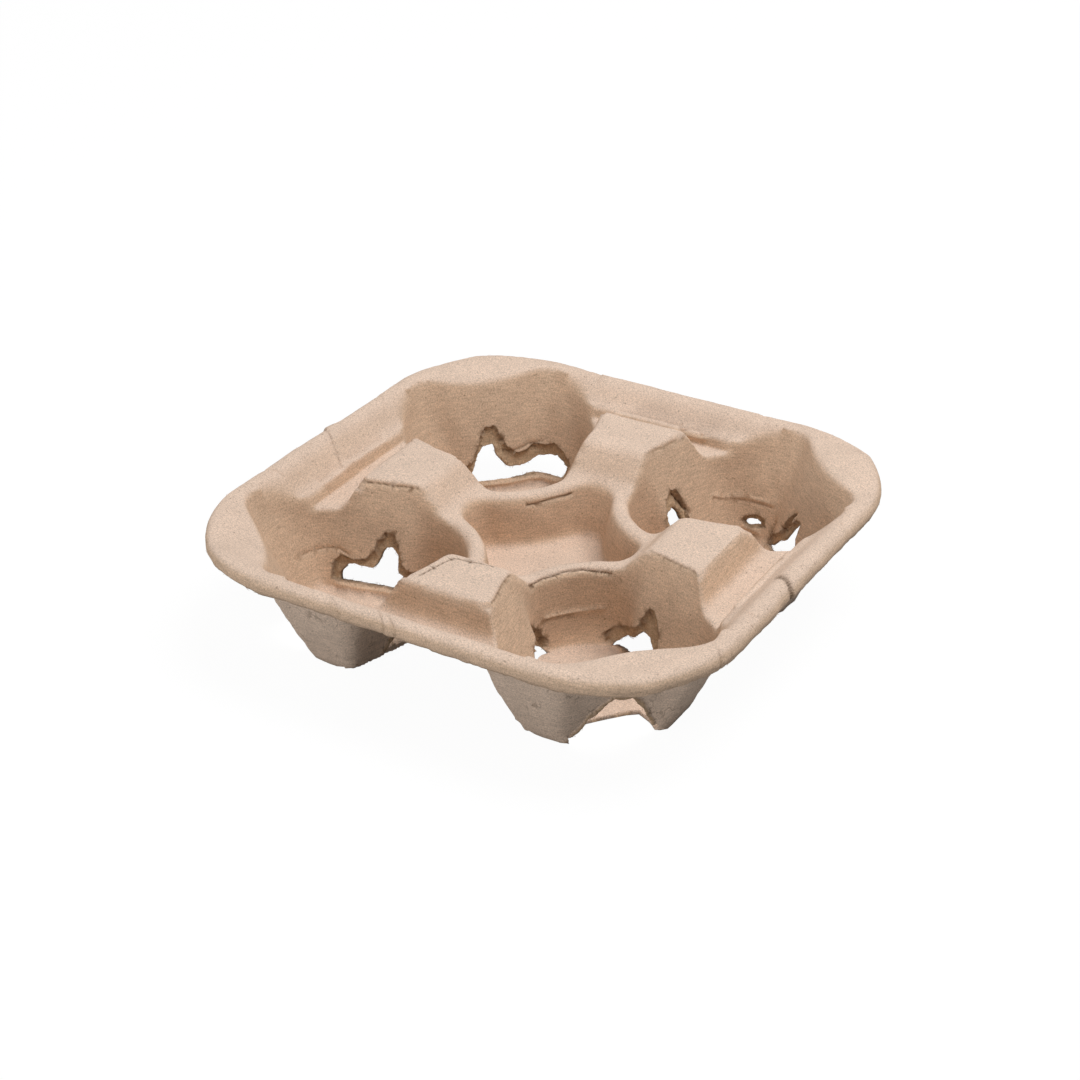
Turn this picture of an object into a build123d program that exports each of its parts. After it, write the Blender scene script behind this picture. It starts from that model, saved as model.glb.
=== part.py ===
"""Moulded-pulp carrier tray for four drinking cups: one pressed sheet of fibre with a rolled-down
rim, four tapered cup wells, four hollow posts between them, and a star-shaped recess in the middle.

The tray is drawn as hollows pressed into a block, once at the upper skin and once grown by the wall
at the lower skin. What lies between the two is the sheet. Z is up, and the origin is on the table
under the middle of the tray. A depth is measured down from the top of the rim. Every well is drawn
in the quarter where x and y are positive, and then turned into its own quarter.
"""

from build123d import *
import os
from math import cos, radians, sin, sqrt, tan

# Overall
side = 216.0
height = 48.0
wall = 1.8
corner_radius = 53.0

# Rim, and the shallow basin inside it
lip_depth = 6.5
shoulder_radius = 4.7
rim_width = 7.8
basin_depth = 2.3
basin_corner = 111.8

# Cup wells
well_foot = 80.0
well_draft = 23.66
well_floor_radius = 2.8
chamfer_end_at_floor = 54.0
chamfer_end_at_mouth = 60.6
chamfer_at_floor = 91.2
chamfer_at_mouth = 110.3
knee_reach = 51.0
nose_centre = 47.5
nose_radius = 31.3
nose_draft = 5.0
nose_half_angle = 35.0
plan_radii_at_floor = {"nose": 7.0, "knee": 7.0, "flank": 3.5, "chamfer": 3.0}
plan_radii_at_mouth = {"nose": 9.0, "knee": 9.0, "flank": 30.0, "chamfer": 10.0}
most_of_outer_wall = {"flank": 0.83, "chamfer": 0.48}

# Posts, between two wells
post_inner_reach = 50.1
post_outer_reach = 74.5
post_inner_half_width = 12.3
post_splay = 14.0
post_flank_draft = 25.0

# Middle: the web between the posts, and the star-shaped recess in it
web_depth = 14.0
web_reach = 39.0
recess_reach = 37.0
recess_waist = 26.0
recess_depth = 35.0
recess_draft = 8.0
recess_tip_radius = 5.0
recess_floor_radius = 3.0

# Side channels, between a post and the rim
channel_depth = 14.5
channel_inner_reach = 79.5
channel_outer_reach = 88.5
channel_half_length = 50.0
ledge_depth = 9.4
ledge_inner_reach = 90.0
ledge_outer_reach = 92.5
ledge_fall = 0.6

# Openings torn low in the well walls, as (distance along the wall, height over the table). The one
# in the front well's chamfer is torn on through the edge of the foot.
sill = 6.5
opening_reach = 16.0
plain_flank = [(50, sill), (51, 13), (56, 19), (61, 17), (66, 13), (73, 12), (75, sill)]
plain_chamfer = [(13, sill), (11, 13), (6, 19), (2, 23), (-4, 21), (-9, 14), (-12, sill)]
right_flank = [(51, sill), (52.6, 18.9), (52.9, 21), (57.1, 22.6), (58.7, 20.9), (66, 14), (74, sill)]
right_wall = [(43, sill), (43.4, 9.3), (49.1, 11.4), (51.6, 9.9), (52, sill)]
right_chamfer = [
    (-14.8, 6), (-9.1, 11), (-3.6, 14.1), (-0.7, 18.8), (1.1, 21.1), (3.6, 21.4),
    (4.7, 17.7), (9.5, 13.8), (6.9, 10.7), (-0.1, 7.5), (-7.2, 6.6),
]
back_wall = [(59.7, 6.9), (58.5, 10.3), (55.2, 12.8), (47.7, 13.8), (41.9, 9.9), (43.2, sill)]
back_chamfer = [
    (-10.7, sill), (-9.1, 10.1), (-6.2, 15.7), (-4, 19.4), (0.7, 20),
    (1.5, 17.4), (4.8, 12.5), (7.9, 10.6), (12.9, sill),
]
left_flank = [
    (52, sill), (50.5, 13), (53, 18), (56.5, 21.7), (59.3, 20.8), (61.3, 14.6),
    (62.7, 12.7), (68.4, 13.1), (72.5, 12.6), (74.5, 9.4), (74.1, sill),
]
front_flank = [
    (47, sill), (46.8, 14), (51.3, 15.3), (54, 18.4), (56.7, 18.1), (62, 14), (74, 9), (74, sill),
]
front_chamfer = [
    (14, -2), (13, 6), (11, 13), (6.4, 19.5), (2.6, 24), (-4.2, 22.3), (-8.7, 16), (-12, 8), (-14, -2),
]

# The wall that each opening goes through is named by the way it faces in the well's own quarter
openings_by_well = {
    "right": [(plain_flank, "y"), (right_flank, "x"), (right_chamfer, "corner"), (right_wall, "rim y")],
    "back": [(plain_flank, "y"), (plain_flank, "x"), (back_chamfer, "corner"), (back_wall, "rim x")],
    "left": [(left_flank, "y"), (plain_flank, "x"), (plain_chamfer, "corner")],
    "front": [(plain_flank, "y"), (front_flank, "x"), (front_chamfer, "corner")],
}

half = side / 2
floor_depth = height - wall


def slope(angle):
    """Sideways travel for each millimetre of height on a wall drafted by angle degrees."""
    return tan(radians(angle))


def between(at_floor, at_mouth, depth):
    """Value at a depth, between one at the well floor and one at the basin."""
    share = (floor_depth - depth) / (floor_depth - basin_depth)
    return at_floor + (at_mouth - at_floor) * share


def outer_reach(depth):
    """Distance of the outer walls from the middle, at the upper skin."""
    return well_foot + (floor_depth - depth) * slope(well_draft)


def post_half_width(reach, depth):
    """Half the width of a post at a reach from the middle, at the upper skin."""
    spread = (reach - post_inner_reach) * slope(post_splay)
    return post_inner_half_width + spread + (depth - basin_depth) * slope(post_flank_draft)


def level(face, depth):
    """The plan face moved down to a depth."""
    return Pos(0, 0, height - depth) * face


def turned(shape, quarter):
    """The shape turned into one of the four quarters."""
    return Rotation(0, 0, 90 * quarter) * shape


def well_section(depth, growth):
    """Plan face of one well at a depth, grown sideways."""
    outer = outer_reach(depth)
    radius = nose_radius + (floor_depth - depth) * slope(nose_draft)
    turn = radians(225 + nose_half_angle)
    corners = {
        "nose": (nose_centre + radius * cos(turn), nose_centre + radius * sin(turn)),
        "knee": (knee_reach, post_half_width(knee_reach, depth)),
        "flank": (outer, post_half_width(outer, depth)),
        "chamfer": (outer, between(chamfer_end_at_floor, chamfer_end_at_mouth, depth)),
    }
    near = list(corners.values())
    far = [(y, x) for x, y in reversed(near)]
    names = [*corners, *reversed(corners)]
    plan_radii = {
        name: between(plan_radii_at_floor[name], plan_radii_at_mouth[name], depth) for name in corners
    }
    outer_wall_run = corners["chamfer"][1] - corners["flank"][1]
    for name, share in most_of_outer_wall.items():
        plan_radii[name] = min(plan_radii[name], share * outer_wall_run)
    nose_bow = nose_centre - radius * sqrt(0.5)
    chamfer_bow = between(chamfer_at_floor, chamfer_at_mouth, depth) * sqrt(0.5)
    with BuildSketch() as sketch:
        with BuildLine():
            Polyline(*near)
            ThreePointArc(near[-1], (chamfer_bow, chamfer_bow), far[0])
            Polyline(*far)
            ThreePointArc(far[-1], (nose_bow, nose_bow), near[0])
        make_face()
        for name, (x, y) in zip(names, near + far):
            corner = sketch.vertices().sort_by_distance((x, y, 0))[0]
            fillet(corner, plan_radii[name])
        offset(amount=growth, mode=Mode.REPLACE)
    return level(sketch.sketch.face(), depth)


def ring_section(depth, reach, corner_end, corner_bow, tip_radius):
    """Plan face of a square whose corners are arcs bowed to a distance on the diagonal."""
    bow = corner_bow * sqrt(0.5)
    quarter_points = [(reach, -corner_end), (reach, corner_end), (bow, bow), (corner_end, reach)]
    with BuildSketch() as sketch:
        with BuildLine():
            for quarter in range(4):
                points = [turned(Pos(x, y, 0), quarter).position for x, y in quarter_points]
                Line(*points[:2])
                ThreePointArc(*points[1:])
        make_face()
        if tip_radius:
            fillet(sketch.vertices(), tip_radius)
    return level(sketch.sketch.face(), depth)


def rounded_foot(section, depth, draft, radius):
    """Sections of a drafted wall whose foot is rounded, from (depth, inset), lowest first."""
    half_bend = radians(90 - draft) / 2
    run = radius * tan(half_bend)
    gap = radius * (1 / cos(half_bend) - 1)
    rise = gap * cos(half_bend)
    return [
        section(depth, run),
        section(depth - rise, gap * sin(half_bend) + rise * slope(draft)),
        section(depth - run * cos(radians(draft)), 0.0),
    ]


def well(skin, top):
    """One cup well, from its rounded floor up to the top depth."""
    growth = skin / cos(radians(well_draft))

    def section(depth, inset):
        return well_section(depth, growth - inset)

    foot = rounded_foot(section, floor_depth + skin, well_draft, well_floor_radius + skin)
    return loft([*foot, section(top, 0.0)], ruled=True)


def basin(skin, top):
    """Shallow hollow inside the rim, whose floor is the top of the posts."""
    growth = skin / cos(radians(well_draft))
    rim_corner_end = half - corner_radius
    rim_corner_bow = rim_corner_end * sqrt(2) + corner_radius - rim_width
    crescent_slope = (rim_corner_bow - basin_corner) / basin_depth
    low = basin_depth + skin
    low_bow = basin_corner + growth
    top_bow = rim_corner_bow + (skin - top) * crescent_slope
    sections = [
        ring_section(low, outer_reach(low) + growth, chamfer_end_at_mouth, low_bow, 0),
        ring_section(top, outer_reach(top) + growth, rim_corner_end, top_bow, 0),
    ]
    return loft(sections, ruled=True)


def dish(skin, top):
    """Hollow between the four posts, whose floor is the web."""
    lean = (post_inner_reach - web_reach) / (web_depth - basin_depth)
    growth = skin * sqrt(1 + lean * lean)
    sections = []
    for depth in (web_depth + skin, top):
        width = 2 * (web_reach + (web_depth - depth) * lean + growth)
        sections.append(level(Rectangle(width, width).face(), depth))
    return loft(sections, ruled=True)


def recess(skin):
    """Star-shaped recess in the middle, from its rounded floor to a level above the web."""

    def section(depth, inset):
        draw = (depth - web_depth) * slope(recess_draft) + inset - skin / cos(radians(recess_draft))
        arc_radius = nose_centre * sqrt(2) - recess_waist + draw
        reach = recess_reach - draw
        tip = nose_centre - sqrt(arc_radius**2 - (nose_centre - reach) ** 2)
        bow = recess_waist - draw
        return ring_section(depth, reach, tip, bow, min(recess_tip_radius, 0.9 * tip))

    foot = rounded_foot(section, recess_depth + skin, recess_draft, recess_floor_radius + skin)
    return loft([*foot, section(web_depth - basin_depth, 0.0)], ruled=True)


def channel(skin, top):
    """Stepped hollow between a post and the rim, on the side where x is positive."""
    rim_foot = outer_reach(basin_depth)
    post_lean = (channel_inner_reach - post_outer_reach) / (channel_depth - basin_depth)
    profile = [
        (post_outer_reach - (basin_depth - top) * post_lean, top),
        (channel_inner_reach, channel_depth),
        (channel_outer_reach, channel_depth),
        (ledge_inner_reach, ledge_depth + ledge_fall),
        (ledge_outer_reach, ledge_depth),
        (rim_foot, basin_depth),
        (rim_foot, top),
    ]
    with BuildSketch(Plane.XZ) as sketch:
        with BuildLine():
            Polyline(*[(reach, height - depth) for reach, depth in profile], close=True)
        make_face()
        offset(amount=skin, kind=Kind.INTERSECTION, mode=Mode.REPLACE)
    groove = extrude(sketch.sketch, amount=channel_half_length, both=True)
    within = []
    for depth in (channel_depth + 2 * wall, top):
        width = 2 * (outer_reach(depth) + skin / cos(radians(well_draft)))
        within.append(level(Rectangle(width, width).face(), depth))
    return groove & loft(within, ruled=True)


def hollows(skin, top):
    """Everything pressed into the sheet, as one solid, grown by the skin and open at the top."""
    quarters = [well(skin, top), channel(skin, top)]
    repeated = [turned(shape, quarter) for shape in quarters for quarter in range(4)]
    return basin(skin, top).fuse(dish(skin, top), recess(skin), *repeated)


def cover(skin):
    """Block under the rim with the outer shape of the lip, drawn in by the skin."""
    with BuildPart() as block:
        with BuildSketch(Plane.XY.offset(height - lip_depth)):
            RectangleRounded(side - 2 * skin, side - 2 * skin, corner_radius - skin)
        extrude(amount=lip_depth - skin)
        fillet(block.edges().group_by(Axis.Z)[-1], shoulder_radius - skin)
    return block.part


def opening(outline, facing):
    """Prism through one wall of a well, with its outline drawn along that wall."""
    along_x, along_y = Vector(1, 0, 0), Vector(0, 1, 0)
    walls = {
        "x": (along_x, along_y, post_inner_half_width, nose_centre - well_floor_radius),
        "y": (along_y, along_x, post_inner_half_width, nose_centre - well_floor_radius),
        "rim x": (along_x, along_y, well_foot - well_floor_radius, well_foot + opening_reach),
        "rim y": (along_y, along_x, well_foot - well_floor_radius, well_foot + opening_reach),
        "corner": (along_x + along_y, along_x - along_y, chamfer_at_floor - well_floor_radius,
                   chamfer_at_floor + opening_reach),
    }
    normal, along, low, high = walls[facing]
    normal, along = normal.normalized(), along.normalized()
    corners = [normal * low + along * place + Vector(0, 0, rise) for place, rise in outline]
    face = Face(Wire.make_polygon(corners))
    return extrude(face, amount=high - low, dir=normal)


def openings():
    """Every opening, turned into the quarter of its well."""
    cuts = []
    for quarter, well_openings in enumerate(openings_by_well.values()):
        cuts += [turned(opening(outline, facing), quarter) for outline, facing in well_openings]
    return cuts


def moulded_tray():
    """The whole sheet, with its openings."""
    lip = cover(0.0) - cover(wall)
    sheet = lip + hollows(wall, wall / 2) - hollows(0.0, -basin_depth / 2)
    return sheet.cut(*openings())


os.makedirs("parts", exist_ok=True)
export_step(moulded_tray(), "parts/moulded_tray.step")
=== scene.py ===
"""Dressed model of a moulded-pulp carrier tray for four drinking cups.

The tray is one pressed sheet of paper fibre. Its upper skin is worked out as the edge of the air
that lies in and around it, on a grid of points that is drawn tight over that edge. The openings are
torn out of the grid, and the lower skin follows the upper one at the thickness of the sheet. Sizes
are in millimetres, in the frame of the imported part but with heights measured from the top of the
rim, and become metres when a mesh is written.
"""

import logging
import math
from dataclasses import dataclass, field, replace
from enum import Enum
from typing import Callable

import bpy
import numpy as np
from mathutils import Matrix, Vector


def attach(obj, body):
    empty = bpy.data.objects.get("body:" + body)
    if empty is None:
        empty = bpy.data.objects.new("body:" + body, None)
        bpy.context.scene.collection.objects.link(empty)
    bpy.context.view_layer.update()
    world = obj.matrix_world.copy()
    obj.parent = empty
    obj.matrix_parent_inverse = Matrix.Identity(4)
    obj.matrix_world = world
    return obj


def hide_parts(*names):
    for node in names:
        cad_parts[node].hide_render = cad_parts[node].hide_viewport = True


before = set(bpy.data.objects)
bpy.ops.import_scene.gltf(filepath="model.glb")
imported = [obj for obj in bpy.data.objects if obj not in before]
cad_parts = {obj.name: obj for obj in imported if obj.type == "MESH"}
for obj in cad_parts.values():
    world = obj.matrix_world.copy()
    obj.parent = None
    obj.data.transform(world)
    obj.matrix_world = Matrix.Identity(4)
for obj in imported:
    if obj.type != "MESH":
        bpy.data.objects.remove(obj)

log = logging.getLogger("tray")

MM = 0.001
TINY = 1e-6
FAR = 50.0

Array = np.ndarray
Outline = tuple[tuple[float, float], ...]
Layer = tuple[int, float, float]


# Plane geometry and smooth joins


def smooth(low: float, high: float, value: Array) -> Array:
    """Ease from 0 at the low value to 1 at the high value."""
    share = np.clip((value - low) / (high - low), 0.0, 1.0)
    return share * share * (3.0 - 2.0 * share)


def both(first: Array, second: Array, radius: float | Array = 0.0) -> Array:
    """Distance to what lies inside two shapes, with the corner between them rounded.

    Args:
        first: Distances to the one shape.
        second: Distances to the other.
        radius: Radius of the corner.

    Returns:
        Distances to what they share.
    """
    u = np.maximum(first + radius, 0.0)
    v = np.maximum(second + radius, 0.0)
    return np.minimum(np.maximum(first, second), -radius) + np.hypot(u, v)


def either(first: Array, second: Array, radius: float | Array = 0.0) -> Array:
    """Distance to what lies inside either of two shapes, with the edge between them rounded.

    Args:
        first: Distances to the one shape.
        second: Distances to the other.
        radius: Radius of the edge.

    Returns:
        Distances to the two together.
    """
    u = np.maximum(radius - first, 0.0)
    v = np.maximum(radius - second, 0.0)
    return np.maximum(np.minimum(first, second), radius) - np.hypot(u, v)


def rounded_square(a: Array, b: Array, half: float | Array, radius: float) -> Array:
    """Distance in plan to a square with round corners, for points given by their reaches.

    Args:
        a: Reach of each point along x.
        b: Reach of each point along y.
        half: Half the side.
        radius: Radius of the corners.

    Returns:
        One distance for each point.
    """
    u = a - (half - radius)
    v = b - (half - radius)
    outside = np.hypot(np.maximum(u, 0.0), np.maximum(v, 0.0))
    return outside + np.minimum(np.maximum(u, v), 0.0) - radius


def polygon_distance(along: Array, level: Array, outline: list[tuple[float, float]]) -> Array:
    """Signed distance to a closed outline, negative inside.

    Args:
        along: First coordinate of each point.
        level: Second coordinate of each point.
        outline: Corners of the outline, in order.

    Returns:
        One distance for each point.
    """
    nearest = np.full(along.shape, np.inf)
    inside = np.zeros(along.shape, bool)
    for (x0, y0), (x1, y1) in zip(outline, outline[1:] + outline[:1]):
        run_x, run_y = x1 - x0, y1 - y0
        length = run_x * run_x + run_y * run_y
        share = np.clip(((along - x0) * run_x + (level - y0) * run_y) / length, 0.0, 1.0)
        nearest = np.minimum(
            nearest, np.hypot(along - x0 - share * run_x, level - y0 - share * run_y)
        )
        crosses = (y0 > level) != (y1 > level)
        rise = np.where(run_y == 0.0, 1.0, run_y)
        inside ^= crosses & (along < x0 + (level - y0) * run_x / rise)
    return np.where(inside, -nearest, nearest)


def unit(ways: Array) -> Array:
    """The same directions at length one."""
    return ways / np.maximum(np.linalg.norm(ways, axis=1), TINY)[:, None]


class Grain:
    """Smooth random field, the same on every run."""

    def __init__(self, seed: int, cells: int = 64) -> None:
        """Fill a block of random values.

        Args:
            seed: Seed of the values.
            cells: Cells along each side, after which the field repeats.
        """
        self.cells = cells
        self.values = np.random.default_rng(seed).uniform(-1.0, 1.0, (cells, cells, cells))

    def at(self, points: Array, size: float) -> Array:
        """Value at each point, between -1 and 1, with swells of about a size.

        Args:
            points: Points to look at.
            size: Size of the swells.

        Returns:
            One value for each point.
        """
        place = points / size
        base = np.floor(place).astype(int)
        part = place - base
        part = part * part * (3.0 - 2.0 * part)
        total = np.zeros(len(points))
        for dx in (0, 1):
            for dy in (0, 1):
                for dz in (0, 1):
                    share = (
                        (part[:, 0] if dx else 1.0 - part[:, 0])
                        * (part[:, 1] if dy else 1.0 - part[:, 1])
                        * (part[:, 2] if dz else 1.0 - part[:, 2])
                    )
                    index = (base + (dx, dy, dz)) % self.cells
                    total += share * self.values[index[:, 0], index[:, 1], index[:, 2]]
        return total


def swells(points: Array, *layers: Layer) -> Array:
    """Sum of random swells, each given as (seed, share, size)."""
    return sum(share * Grain(seed).at(points, size) for seed, share, size in layers)


# The form of the tray


@dataclass(frozen=True)
class RimForm:
    """Bead round the tray, rolled down at its outer edge."""

    half: float = 108.0
    corner_radius: float = 53.0
    inner_half: float = 99.8
    shoulder_radius: float = 4.7
    inner_edge_radius: float = 2.4
    corner_edge_radius: float = 2.0
    lip_depth: float = 6.5
    tuck: float = 0.4
    crescent_slope: float = 0.30

    def outside(self, a: Array, b: Array, z: Array) -> Array:
        """Distance to the air round the tray, negative in that air.

        Args:
            a: Reach of each point along x.
            b: Reach of each point along y.
            z: Height of each point.

        Returns:
            One distance for each point.
        """
        drawn_in = self.tuck * np.maximum(-self.shoulder_radius - z, 0.0)
        in_plan = rounded_square(a, b, self.half, self.corner_radius) + drawn_in
        return -both(in_plan, z, self.shoulder_radius)

    def inner_edge(self, a: Array, b: Array) -> Array:
        """Distance in plan to the inner edge of the bead, negative inside it."""
        corner_radius = self.corner_radius - (self.half - self.inner_half)
        return rounded_square(a, b, self.inner_half, corner_radius)


@dataclass(frozen=True)
class WellForm:
    """One cup well, in the quarter where both reaches are positive."""

    floor: float = -46.2
    foot: float = 80.0
    outer_draft: float = 23.66
    chamfer_foot: float = 91.2
    chamfer_slope: float = 0.435
    chamfer_bow: float = 3.2
    chamfer_half_foot: float = 18.4
    chamfer_half_spread: float = 0.2
    chamfer_most_bow: float = 2.0
    nose_centre: float = 47.5
    nose_foot_radius: float = 31.3
    nose_draft: float = 5.0
    nose_end: float = 260.0
    knee_reach: float = 51.0
    knee_ease: float = 4.0
    floor_radius: float = 2.8
    nose_corner_radius: float = 6.0
    chamfer_corner_radius: float = 4.0
    flank_corner_radius: float = 3.8
    flank_corner_flare: float = 26.0
    most_flare: float = 1.2

    def distance(self, posts: "PostForm", a: Array, b: Array, z: Array) -> Array:
        """Distance to the hollow of the well, negative inside it.

        Args:
            posts: Form of the posts beside the well.
            a: Reach of each point along x.
            b: Reach of each point along y.
            z: Height of each point.

        Returns:
            One distance for each point.
        """
        height = z - self.floor
        draft = math.radians(self.outer_draft)
        share = np.clip(height / (posts.top - self.floor), 0.0, self.most_flare)
        corner_radius = self.flank_corner_radius + self.flank_corner_flare * share * share
        walls = None
        for reach, across in ((a, b), (b, a)):
            outer = (reach - self.foot) * math.cos(draft) - height * math.sin(draft)
            wall = both(self.post_side(posts, reach, across, z), outer, corner_radius)
            walls = wall if walls is None else np.maximum(walls, wall)
        walls = both(walls, self.chamfer(a, b, z), self.chamfer_corner_radius)
        walls = both(walls, self.nose(a, b, z), self.nose_corner_radius)
        return both(walls, -height, self.floor_radius)

    def post_side(self, posts: "PostForm", reach: Array, across: Array, z: Array) -> Array:
        """Distance past the wall that the well shares with a post, and its turn to the nose.

        Args:
            posts: Form of the posts beside the well.
            reach: Distance along the post.
            across: Distance across the post.
            z: Height of each point.

        Returns:
            One distance for each point.
        """
        radius = self.nose_radius(z)
        end = math.radians(self.nose_end)
        end_reach = self.nose_centre + radius * math.cos(end)
        end_across = self.nose_centre + radius * math.sin(end)
        knee_across = posts.half_width(self.knee_reach, z)
        cheek_slope = (knee_across - end_across) / (self.knee_reach - end_reach)
        cheek = end_across + (reach - end_reach) * cheek_slope
        share = smooth(self.knee_reach - self.knee_ease, self.knee_reach + self.knee_ease, reach)
        wall = (1.0 - share) * cheek + share * posts.half_width(reach, z)
        slope = (1.0 - share) * cheek_slope + share * posts.splay
        return (wall - across) / np.sqrt(1.0 + slope * slope + share * posts.flank_slope**2)

    def nose_radius(self, z: Array) -> Array:
        """Radius of the wall towards the middle of the tray."""
        return self.nose_foot_radius + (z - self.floor) * math.tan(math.radians(self.nose_draft))

    def nose(self, a: Array, b: Array, z: Array) -> Array:
        """Distance past the round wall towards the middle of the tray.

        Args:
            a: Reach of each point along x.
            b: Reach of each point along y.
            z: Height of each point.

        Returns:
            One distance for each point.
        """
        u, v = a - self.nose_centre, b - self.nose_centre
        end = math.radians(self.nose_end)
        cosine, sine = math.cos(end), math.sin(end)
        in_sector = (-sine * u + cosine * v < 0.0) & (cosine * u - sine * v < 0.0)
        sides = np.maximum(cosine * u + sine * v, sine * u + cosine * v)
        reach = np.where(in_sector, np.hypot(u, v), sides)
        return (reach - self.nose_radius(z)) * math.cos(math.radians(self.nose_draft))

    def chamfer(self, a: Array, b: Array, z: Array) -> Array:
        """Distance past the wall across the corner of the tray, which bows into the well.

        Args:
            a: Reach of each point along x.
            b: Reach of each point along y.
            z: Height of each point.

        Returns:
            One distance for each point.
        """
        height = z - self.floor
        diagonal = (a + b) * math.sqrt(0.5)
        off = (a - b) * math.sqrt(0.5)
        half = self.chamfer_half_foot + self.chamfer_half_spread * height
        bow = self.chamfer_bow * np.minimum((off / half) ** 2, self.chamfer_most_bow)
        reach = self.chamfer_foot + self.chamfer_slope * height + bow
        return (diagonal - reach) / math.hypot(1.0, self.chamfer_slope)


@dataclass(frozen=True)
class PostForm:
    """One of the four hollow posts that stand between the wells."""

    top: float = -2.2
    inner_reach: float = 50.1
    inner_half_width: float = 12.3
    splay: float = 0.25
    flank_slope: float = 0.466
    edge_radius: float = 1.6

    def half_width(self, reach: Array | float, z: Array) -> Array:
        """Half the width of the post at a reach and a height."""
        spread = self.splay * (reach - self.inner_reach)
        return self.inner_half_width + spread + self.flank_slope * (self.top - z)


@dataclass(frozen=True)
class MiddleForm:
    """Dished web between the posts, with the star-shaped recess in it."""

    web: float = -14.0
    web_reach: float = 39.0
    post_lean: float = 0.94
    web_radius: float = 3.0
    ridge_radius: float = 3.0
    recess_reach: float = 37.0
    recess_waist: float = 26.0
    recess_floor: float = -35.0
    recess_draft: float = 0.14
    recess_tip_radius: float = 5.0
    recess_floor_radius: float = 3.5

    def dish(self, a: Array, b: Array, z: Array) -> Array:
        """Distance to the hollow between the posts.

        Args:
            a: Reach of each point along x.
            b: Reach of each point along y.
            z: Height of each point.

        Returns:
            One distance for each point.
        """
        reach = self.web_reach + (z - self.web) * self.post_lean
        sides = (np.maximum(a, b) - reach) / math.hypot(1.0, self.post_lean)
        return both(sides, self.web - z, self.web_radius)

    def recess(self, wells: WellForm, a: Array, b: Array, z: Array) -> Array:
        """Distance to the star-shaped recess.

        Args:
            wells: Form of the wells round the recess.
            a: Reach of each point along x.
            b: Reach of each point along y.
            z: Height of each point.

        Returns:
            One distance for each point.
        """
        draw = (self.web - z) * self.recess_draft
        centre = wells.nose_centre
        radius = centre * math.sqrt(2.0) - self.recess_waist + draw
        arc = radius - np.hypot(a - centre, b - centre)
        star = both(arc, a - (self.recess_reach - draw), self.recess_tip_radius)
        star = both(star, b - (self.recess_reach - draw), self.recess_tip_radius)
        return both(star, self.recess_floor - z, self.recess_floor_radius)


@dataclass(frozen=True)
class ChannelForm:
    """Stepped hollow between a post and the rim."""

    floor: float = -14.5
    inner_reach: float = 79.5
    post_lean: float = 0.41
    drop_reach: float = 88.5
    drop_lean: float = 0.32
    ledge: float = -9.4
    ledge_middle: float = 91.0
    ledge_slope: float = 0.2
    rim_reach: float = 92.5
    rim_lean: float = 0.985
    floor_radius: float = 2.0
    ledge_radius: float = 1.0
    step_radius: float = 1.6
    half_length: float = 50.0

    def distance(self, reach: Array, across: Array, z: Array) -> Array:
        """Distance to the hollow on the side that the reach is measured towards.

        Args:
            reach: Distance from the middle of the tray towards the rim.
            across: Distance along the rim.
            z: Height of each point.

        Returns:
            One distance for each point.
        """
        post = self.inner_reach - (z - self.floor) * self.post_lean - reach
        post = post / math.hypot(1.0, self.post_lean)
        drop = reach - self.drop_reach - (z - self.floor) * self.drop_lean
        drop = drop / math.hypot(1.0, self.drop_lean)
        lower = both(both(post, self.floor - z, self.floor_radius), drop, self.ledge_radius)
        ledge = self.ledge + self.ledge_slope * (reach - self.ledge_middle) - z
        rim = reach - self.rim_reach - (z - self.ledge) * self.rim_lean
        rim = rim / math.hypot(1.0, self.rim_lean)
        upper = both(both(ledge, rim, self.ledge_radius), post, self.ledge_radius)
        return np.maximum(either(lower, upper, self.step_radius), across - self.half_length)


@dataclass(frozen=True)
class BasinForm:
    """Shallow hollow over the posts and over the crescents at the corners."""

    corner_start: float = 30.0
    corner_end: float = 48.0
    reach: float = 90.0
    corner_spread: float = 40.0
    edge_radius: float = 0.6

    def corner(self, a: Array, b: Array) -> Array:
        """How much of a corner each point belongs to."""
        return smooth(self.corner_start, self.corner_end, np.minimum(a, b))


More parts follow.
